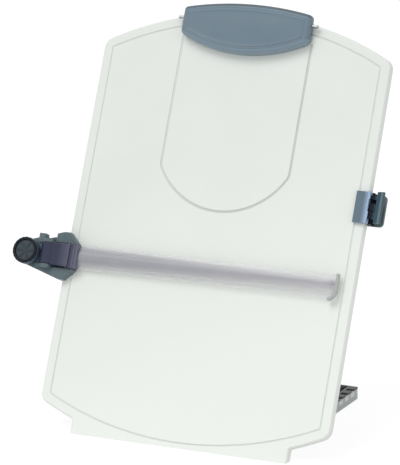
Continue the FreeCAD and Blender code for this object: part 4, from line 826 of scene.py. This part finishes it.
def make_clip_cover():
    """Hollow cover with a rounded border, a slightly sunk middle and a sloping rim."""
    proud = -CLIP_LOW.y

    def rim(lift):
        def depth(s):
            share = (s - CLIP_LOW.z) / (CLIP_HIGH.z - CLIP_LOW.z)
            return CLIP_RIM_LOW + (CLIP_RIM_TOP - CLIP_RIM_LOW) * share + lift
        return depth

    def level(depth):
        return lambda s: depth

    inner = clip_ring(CLIP_INNER_IN, level(proud - CLIP_WALL))
    rings = [shrunk(inner, 0.3), inner,
             clip_ring(CLIP_ROUND, level(proud - CLIP_WALL)),
             clip_ring(CLIP_WALL, level(proud - CLIP_ROUND)),
             clip_ring(CLIP_WALL, rim(CLIP_RIM_EASE)),
             clip_ring(CLIP_WALL - CLIP_RIM_EASE, rim(0)),
             clip_ring(CLIP_RIM_EASE, rim(0)),
             clip_ring(0, rim(CLIP_RIM_EASE))]
    for k in range(CLIP_ROUND_STEPS + 1):
        angle = math.pi / 2 * k / CLIP_ROUND_STEPS
        rings.append(clip_ring(CLIP_ROUND * (1 - math.cos(angle)),
                               level(proud - CLIP_ROUND * (1 - math.sin(angle)))))
    sunk = proud - CLIP_STEP_DEEP
    for inset, depth in ((0, proud), (0.2, proud - 0.06 * MM), (0.9, sunk + 0.06 * MM),
                         (1.2, sunk)):
        rings.append(clip_ring(CLIP_STEP_IN + inset * MM, level(depth)))
    edge = clip_ring(CLIP_OUTER_IN, level(sunk))
    rings.append(edge)
    rings += [shrunk(edge, share, CLIP_CROWN * rise) for share, rise in CLIP_CROWN_RINGS]
    shell = new_piece("clip_cover_shell", mesh_of("clip_cover_shell", *loft(rings)), "page_clip",
                      COVER_PLASTIC, ("clip_cover",), smooth_below=50)
    # faces along the cover's upper edge take a darker copy of its plastic, painted shade, and
    # those along its lower edge a lighter one, a painted highlight
    paint(shell, (COVER_PLASTIC, COVER_TOP_SHADE, COVER_LOW_HIGHLIGHT),
          lambda p, n: 0 if n.y < -FRONT_FACING else 1 if n.z > EDGE_FACING
          else 2 if n.z < -EDGE_FACING else 0)


def make_clip_lugs():
    """The cover's two inner lugs on its pin."""
    pin_low, pin_high = span("clip_pin")
    axis_t, axis_s = (pin_low.y + pin_high.y) / 2, (pin_low.z + pin_high.z) / 2
    ears = span("clip_bracket")[1].x
    skin = CLIP_LOW.y + CLIP_WALL / 2
    profile = [(axis_t + CLIP_EAR_R * math.sin(a), axis_s + CLIP_EAR_R * math.cos(a))
               for a in [math.pi * k / 12 for k in range(13)]]
    profile += [(skin, axis_s - CLIP_EAR_R), (skin, axis_s + CLIP_EAR_R)]
    shapes = []
    for side in (-1, 1):
        near = ears + CLIP_EAR_GAP
        rings = []
        for x, keep in ((near, 0.9), (near + 0.3 * MM, 1),
                        (near + CLIP_EAR_W - 0.3 * MM, 1), (near + CLIP_EAR_W, 0.9)):
            rings.append([Vector((side * x, axis_t + (t - axis_t) * keep,
                                  axis_s + (s - axis_s) * keep)) for t, s in profile])
        shapes.append(loft(rings))
    new_piece("clip_cover_lugs", mesh_of("clip_cover_lugs", *combined(shapes)), "page_clip",
              CLIP_PLASTIC, ("clip_cover",))


CLIP_WIRE_R = 0.5 * MM
CLIP_SPRING_TURNS = 11.5


def make_clip_spring():
    """Coil round the clip's pin with two straight legs."""
    low, high = span("clip_spring")
    pin_low, pin_high = span("clip_pin")
    centre = (pin_low + pin_high) / 2
    wire = CLIP_WIRE_R
    start = Vector((low.x + wire, centre.y, centre.z))
    path = coil(start, (1, 0, 0), (high.y - low.y) / 2 - wire, high.x - low.x - 2 * wire,
                CLIP_SPRING_TURNS)
    first, last = path[0], path[-1]
    lead_in = [Vector((first.x, first.y, low.z)), first]
    lead_out = [last, Vector((last.x, last.y, low.z))]
    shapes = [tube(path, wire), tube(lead_in, wire), tube(lead_out, wire)]
    new_piece("clip_spring_coil", mesh_of("clip_spring_coil", *combined(shapes)), "board",
              SPRING_STEEL, ("clip_spring",))


# ---------------------------------------------------------------- line guide
BAR_EDGE_T = 1.2 * MM     # thickness of the bar's clear edges
BAR_HUMP_HALF = 6.8 * MM  # half width of the bar's thicker middle
BAR_HUMP_UP = 0.8 * MM    # the middle lies this far above the bar's centre line
BAR_HUMP_FLANK = 0.55     # below 1, the middle's flanks are steeper than a plain wave's
BAR_CORNER = 5.5 * MM
BAR_HUMP_END = 3.2 * MM   # the middle stops this far from the bar's free end
BAR_STEPS = 28            # across the middle


def make_guide_bar():
    """Blade with thin clear edges and a softly rounded thicker middle."""
    low, high = span("guide_bar")
    low.x = span("bar_holder")[1].x - 1.0 * MM
    back, step, front = high.y, high.y - BAR_EDGE_T, low.y
    layers = [(0.2 * MM, back), (0, back - 0.2 * MM), (0, step + 0.4 * MM), (0.4 * MM, step)]
    blade = plate(low, high, (0.3 * MM, BAR_CORNER, 1.0 * MM, 0.3 * MM), layers)
    middle = (low.z + high.z) / 2 + BAR_HUMP_UP
    rings = []
    end = high.x - BAR_HUMP_END
    for x, share in ((low.x, 1), (end - 6 * MM, 1), (end - 3 * MM, 0.85), (end - 1 * MM, 0.5),
                     (end, 0.1)):
        ring = [Vector((x, step + 0.3 * MM, middle + BAR_HUMP_HALF)),
                Vector((x, step + 0.3 * MM, middle - BAR_HUMP_HALF))]
        for k in range(BAR_STEPS + 1):
            place = -1 + 2 * k / BAR_STEPS
            wave = 0.5 + 0.5 * math.cos(math.pi * place)
            rise = (step - front) * share * wave ** BAR_HUMP_FLANK
            ring.append(Vector((x, step + 0.02 * MM - rise, middle + place * BAR_HUMP_HALF)))
        rings.append(ring)
    hump = loft(rings)
    new_piece("guide_bar_blade", mesh_of("guide_bar_blade", *combined([blade, hump])), "guide",
              BAR_PLASTIC, ("guide_bar",), smooth_below=50)


# ---------------------------------------------------------------- clamp knob
KNOB_FLUTES = 20
FLUTE_DEEP = 0.028        # depth of the flutes as a share of the knob's radius
FLUTE_FADE = 0.9 * MM     # they run out over this length at the front
DIAL_R = 8.0 * MM
DIAL_DEEP = 1.8 * MM
FLANK_FROM = 1.4 * MM     # the painted light on the ring's flank starts this far behind its front
FLANK_OUT = 1.2 * MM      # and this far outside the dial


def make_knob():
    """Fluted ring round a sunk face."""
    low, high = span("knob")
    radius = (high.x - low.x) / 2
    depth = high.y - low.y
    centre = Vector(((low.x + high.x) / 2, high.y, (low.z + high.z) / 2))

    def fluted(angle, along):
        fade = min(1, max(0, (depth - along) / FLUTE_FADE))
        return 1 - FLUTE_DEEP * fade * (0.5 + 0.5 * math.cos(KNOB_FLUTES * angle)) ** 2

    outside = [(0, TINY), (0, radius - 0.8 * MM), (0.25 * MM, radius - 0.2 * MM),
               (0.6 * MM, radius), (depth - 1.3 * MM, radius),
               (depth - 0.7 * MM, radius - 0.12 * MM),
               (depth - 0.25 * MM, radius - 0.45 * MM), (depth - 0.04 * MM, radius - 0.95 * MM)]
    inside = [(depth - 0.04 * MM, radius - 0.95 * MM), (depth, radius - 1.35 * MM),
              (depth - 0.05 * MM, DIAL_R + 0.25 * MM), (depth - 0.35 * MM, DIAL_R + 0.02 * MM),
              (depth - DIAL_DEEP, DIAL_R - 0.1 * MM), (depth - DIAL_DEEP, TINY)]
    shapes = [lathe(outside, centre, (0, -1, 0), KNOB_FLUTES * 8, fluted),
              lathe(inside, centre, (0, -1, 0), KNOB_FLUTES * 8)]
    ring = new_piece("knob_ring", mesh_of("knob_ring", *combined(shapes)), "clamp_knob",
                     KNOB_PLASTIC, ("knob",), smooth_below=55)
    # the ring's flank outside the dial takes a lighter copy of the plastic, painted light
    paint(ring, (KNOB_PLASTIC, FLANK_LIGHT), lambda p, n: int(
        p.y > low.y + FLANK_FROM
        and math.hypot(p.x - centre.x, p.z - centre.z) > DIAL_R + FLANK_OUT))


# ---------------------------------------------------------------- foot grips, side clip's spring
GRIP_PITCH = 2.2 * MM     # of the grooves round a foot grip
GRIP_GROOVE = 0.88        # radius in a groove, as a share of the grip's
GRIP_END = 0.8            # and at its ends
SIDE_WIRE_R = 0.35 * MM
SIDE_SPRING_TURNS = 3


def make_foot_grips():
    """Ribbed rubber sleeves on the ends of the prop leg's foot rod."""
    shapes = []
    for low, high in islands("prop_foot_grips"):
        radius = (high.y - low.y) / 2
        length = high.x - low.x
        profile = [(0, TINY), (0, radius * GRIP_END), (0.5 * MM, radius)]
        place = GRIP_PITCH
        while place < length - GRIP_PITCH:
            profile += [(place - 0.5 * MM, radius), (place - 0.2 * MM, radius * GRIP_GROOVE),
                        (place + 0.2 * MM, radius * GRIP_GROOVE), (place + 0.5 * MM, radius)]
            place += GRIP_PITCH
        profile += [(length - 0.5 * MM, radius), (length, radius * GRIP_END), (length, TINY)]
        start = Vector((low.x, (low.y + high.y) / 2, (low.z + high.z) / 2))
        shapes.append(lathe(profile, start, (1, 0, 0)))
    new_piece("prop_foot_grips_ribbed", mesh_of("prop_foot_grips", *combined(shapes)), "prop",
              RUBBER, ("prop_foot_grips",))


def make_side_spring():
    """Small coil round the side clip's pin."""
    low, high = span("side_clip_spring")
    wire = SIDE_WIRE_R
    start = Vector(((low.x + high.x) / 2, (low.y + high.y) / 2, low.z + wire))
    path = coil(start, (0, 0, 1), (high.x - low.x) / 2 - wire, high.z - low.z - 2 * wire,
                SIDE_SPRING_TURNS)
    new_piece("side_clip_coil", mesh_of("side_clip_coil", *tube(path, wire)), "side_clip",
              BLACK_STEEL, ("side_clip_spring",))


# ---------------------------------------------------------------- all pieces
ROD_CHAMFER = 0.4 * MM
SMALL_CHAMFER = 0.3 * MM
X_AXIS, T_AXIS, S_AXIS = 0, 1, 2
RODS = (("clip_pin", X_AXIS), ("guide_pivot_pin", S_AXIS), ("prop_hinge_pins", X_AXIS),
        ("base_hinge_rod", X_AXIS), ("prop_foot_rod", X_AXIS), ("knob_stud", T_AXIS))
MOULDINGS = (             # node, rounding in mm, material and the record's slot
    ("carriage_front", 0.5, CARRIAGE_PLASTIC, "carriage_plastic"),
    ("carriage_rear", 0.5, CARRIAGE_PLASTIC, "carriage_plastic"),
    ("bar_holder", 0.45, HOLDER_PLASTIC, "holder_plastic"),
    ("bar_end_cap", 0.35, CAP_PLASTIC, "holder_plastic"),
    ("clamp_nut", 0.35, STEEL, "steel"),
    ("prop_leg", 0.5, LEG_PLASTIC, "leg_plastic"),
    ("prop_brackets", 0.4, BASE_PLASTIC, "base_plastic"),
    ("base_plate", 0.5, BASE_PLASTIC, "base_plastic"),
    ("notch_rails", 0.35, RAIL_PLASTIC, "rail_plastic"),
    ("base_mat", 0.3, MAT_RUBBER, "rubber"))


def make_painted_mouldings():
    """The side clip's jaw and body and the knob's face, each in more than one shade."""
    pin_low, pin_high = span("side_clip_pin")
    ridge_end, wing_start = pin_low.x - 1.0 * MM, pin_high.x + 1.0 * MM
    ridge_front = span("side_clip_grip")[0].y - 2.1 * MM
    bars_at = span("knob_cap")[0].y + 0.2 * MM
    jaw = softened("side_clip_jaw", 0.35 * MM, CLIP_PLASTIC)
    # the ridge's faces take a paler copy of the plastic, a painted highlight
    paint(jaw, (CLIP_PLASTIC, WING_PLASTIC, RIDGE_HIGHLIGHT),
          lambda p, n: 1 if p.x > ridge_end else 2 if p.y < ridge_front else 0)
    body = softened("side_clip_body", 0.4 * MM, WING_PLASTIC)
    paint(body, (WING_PLASTIC, CLIP_BACK_PLASTIC), lambda p, n: int(p.x > wing_start))
    dial = softened("knob_cap", 0.3 * MM, DIAL_PLASTIC)
    paint(dial, (DIAL_PLASTIC, SPOKE_PLASTIC), lambda p, n: int(p.y < bars_at))


def make_pieces():
    """Every piece that stands for a CAD node."""
    make_clip_cover()
    make_clip_lugs()
    make_clip_spring()
    make_guide_bar()
    make_knob()
    make_foot_grips()
    make_side_spring()
    cross_screws("clip_screws", True)
    cross_screws("carriage_screws", False)
    cross_screws("prop_bracket_screws", False)
    turned_rods("side_clip_pin", S_AXIS, SMALL_CHAMFER, BLACK_STEEL)
    for node, axis in RODS:
        turned_rods(node, axis, ROD_CHAMFER, STEEL)
    make_painted_mouldings()
    for node, width, material, slot in MOULDINGS:
        softened(node, width * MM, material)


# ---------------------------------------------------------------- stage
FLOOR_HALF = 6.0
FLOOR_GREY = 0.92
FLOOR_GLOW = 1.16         # how bright the camera sees the floor where it isn't shaded
FLOOR_GLOW_SHARE = 0.75
WORLD_LIGHT = 0.52
KEY_SUN = ("key", (0.22, 0.5, -0.95), 1.0, 34)      # name, direction, strength and softness
FILL_SUN = ("fill", (-0.9, 0.6, -0.35), 0.3, 60)


def mixed(tree, share, first, second, output):
    """Send a mix of two shaders to an output."""
    mix = tree.nodes.new("ShaderNodeMixShader")
    tree.links.new(share, mix.inputs["Fac"])
    tree.links.new(first, mix.inputs[1])
    tree.links.new(second, mix.inputs[2])
    tree.links.new(mix.outputs["Shader"], output.inputs["Surface"])


def make_floor():
    """White floor that glows for the camera and keeps the object's shadow."""
    half = FLOOR_HALF
    mesh = bpy.data.meshes.new("floor")
    mesh.from_pydata([(-half, -half, 0), (half, -half, 0), (half, half, 0), (-half, half, 0)],
                     [], [(0, 1, 2, 3)])
    floor = bpy.data.objects.new("floor", mesh)
    bpy.context.scene.collection.objects.link(floor)
    material, tree, shader = node_tree("floor white")
    shader.inputs["Base Color"].default_value = (FLOOR_GREY, FLOOR_GREY, FLOOR_GREY, 1)
    shader.inputs["Roughness"].default_value = 0.9
    shader.inputs["Specular IOR Level"].default_value = 0.0
    glow = tree.nodes.new("ShaderNodeEmission")
    glow.inputs["Strength"].default_value = FLOOR_GLOW
    path = tree.nodes.new("ShaderNodeLightPath")
    share = calc(tree, "MULTIPLY", path.outputs["Is Camera Ray"], FLOOR_GLOW_SHARE)
    output = next(n for n in tree.nodes if n.type == "OUTPUT_MATERIAL")
    mixed(tree, share, shader.outputs["BSDF"], glow.outputs["Emission"], output)
    mesh.materials.append(material)


def make_world():
    """Even light, and a white background for the camera and in mirrors and glass."""
    world = bpy.data.worlds.new("world")
    bpy.context.scene.world = world
    world.use_nodes = True
    tree = world.node_tree
    tree.nodes.clear()
    light, seen = [tree.nodes.new("ShaderNodeBackground") for _ in range(2)]
    for background, strength in ((light, WORLD_LIGHT), (seen, 1.0)):
        background.inputs["Color"].default_value = (1, 1, 1, 1)
        background.inputs["Strength"].default_value = strength
    path = tree.nodes.new("ShaderNodeLightPath")
    direct = calc(tree, "MAXIMUM", path.outputs["Is Camera Ray"], path.outputs["Is Glossy Ray"])
    share = calc(tree, "MAXIMUM", direct, path.outputs["Is Transmission Ray"])
    mixed(tree, share, light.outputs["Background"], seen.outputs["Background"],
          tree.nodes.new("ShaderNodeOutputWorld"))


def sun(name, direction, strength, softness):
    """Soft sun that shines along direction."""
    data = bpy.data.lights.new(name, "SUN")
    data.energy = strength
    data.angle = math.radians(softness)
    lamp = bpy.data.objects.new(name, data)
    bpy.context.scene.collection.objects.link(lamp)
    lamp.rotation_mode = "QUATERNION"
    lamp.rotation_quaternion = Vector(direction).to_track_quat("-Z", "Y")


make_camera()
make_floor()
make_world()
sun(*KEY_SUN)
sun(*FILL_SUN)
finish_cad_nodes()
make_pieces()
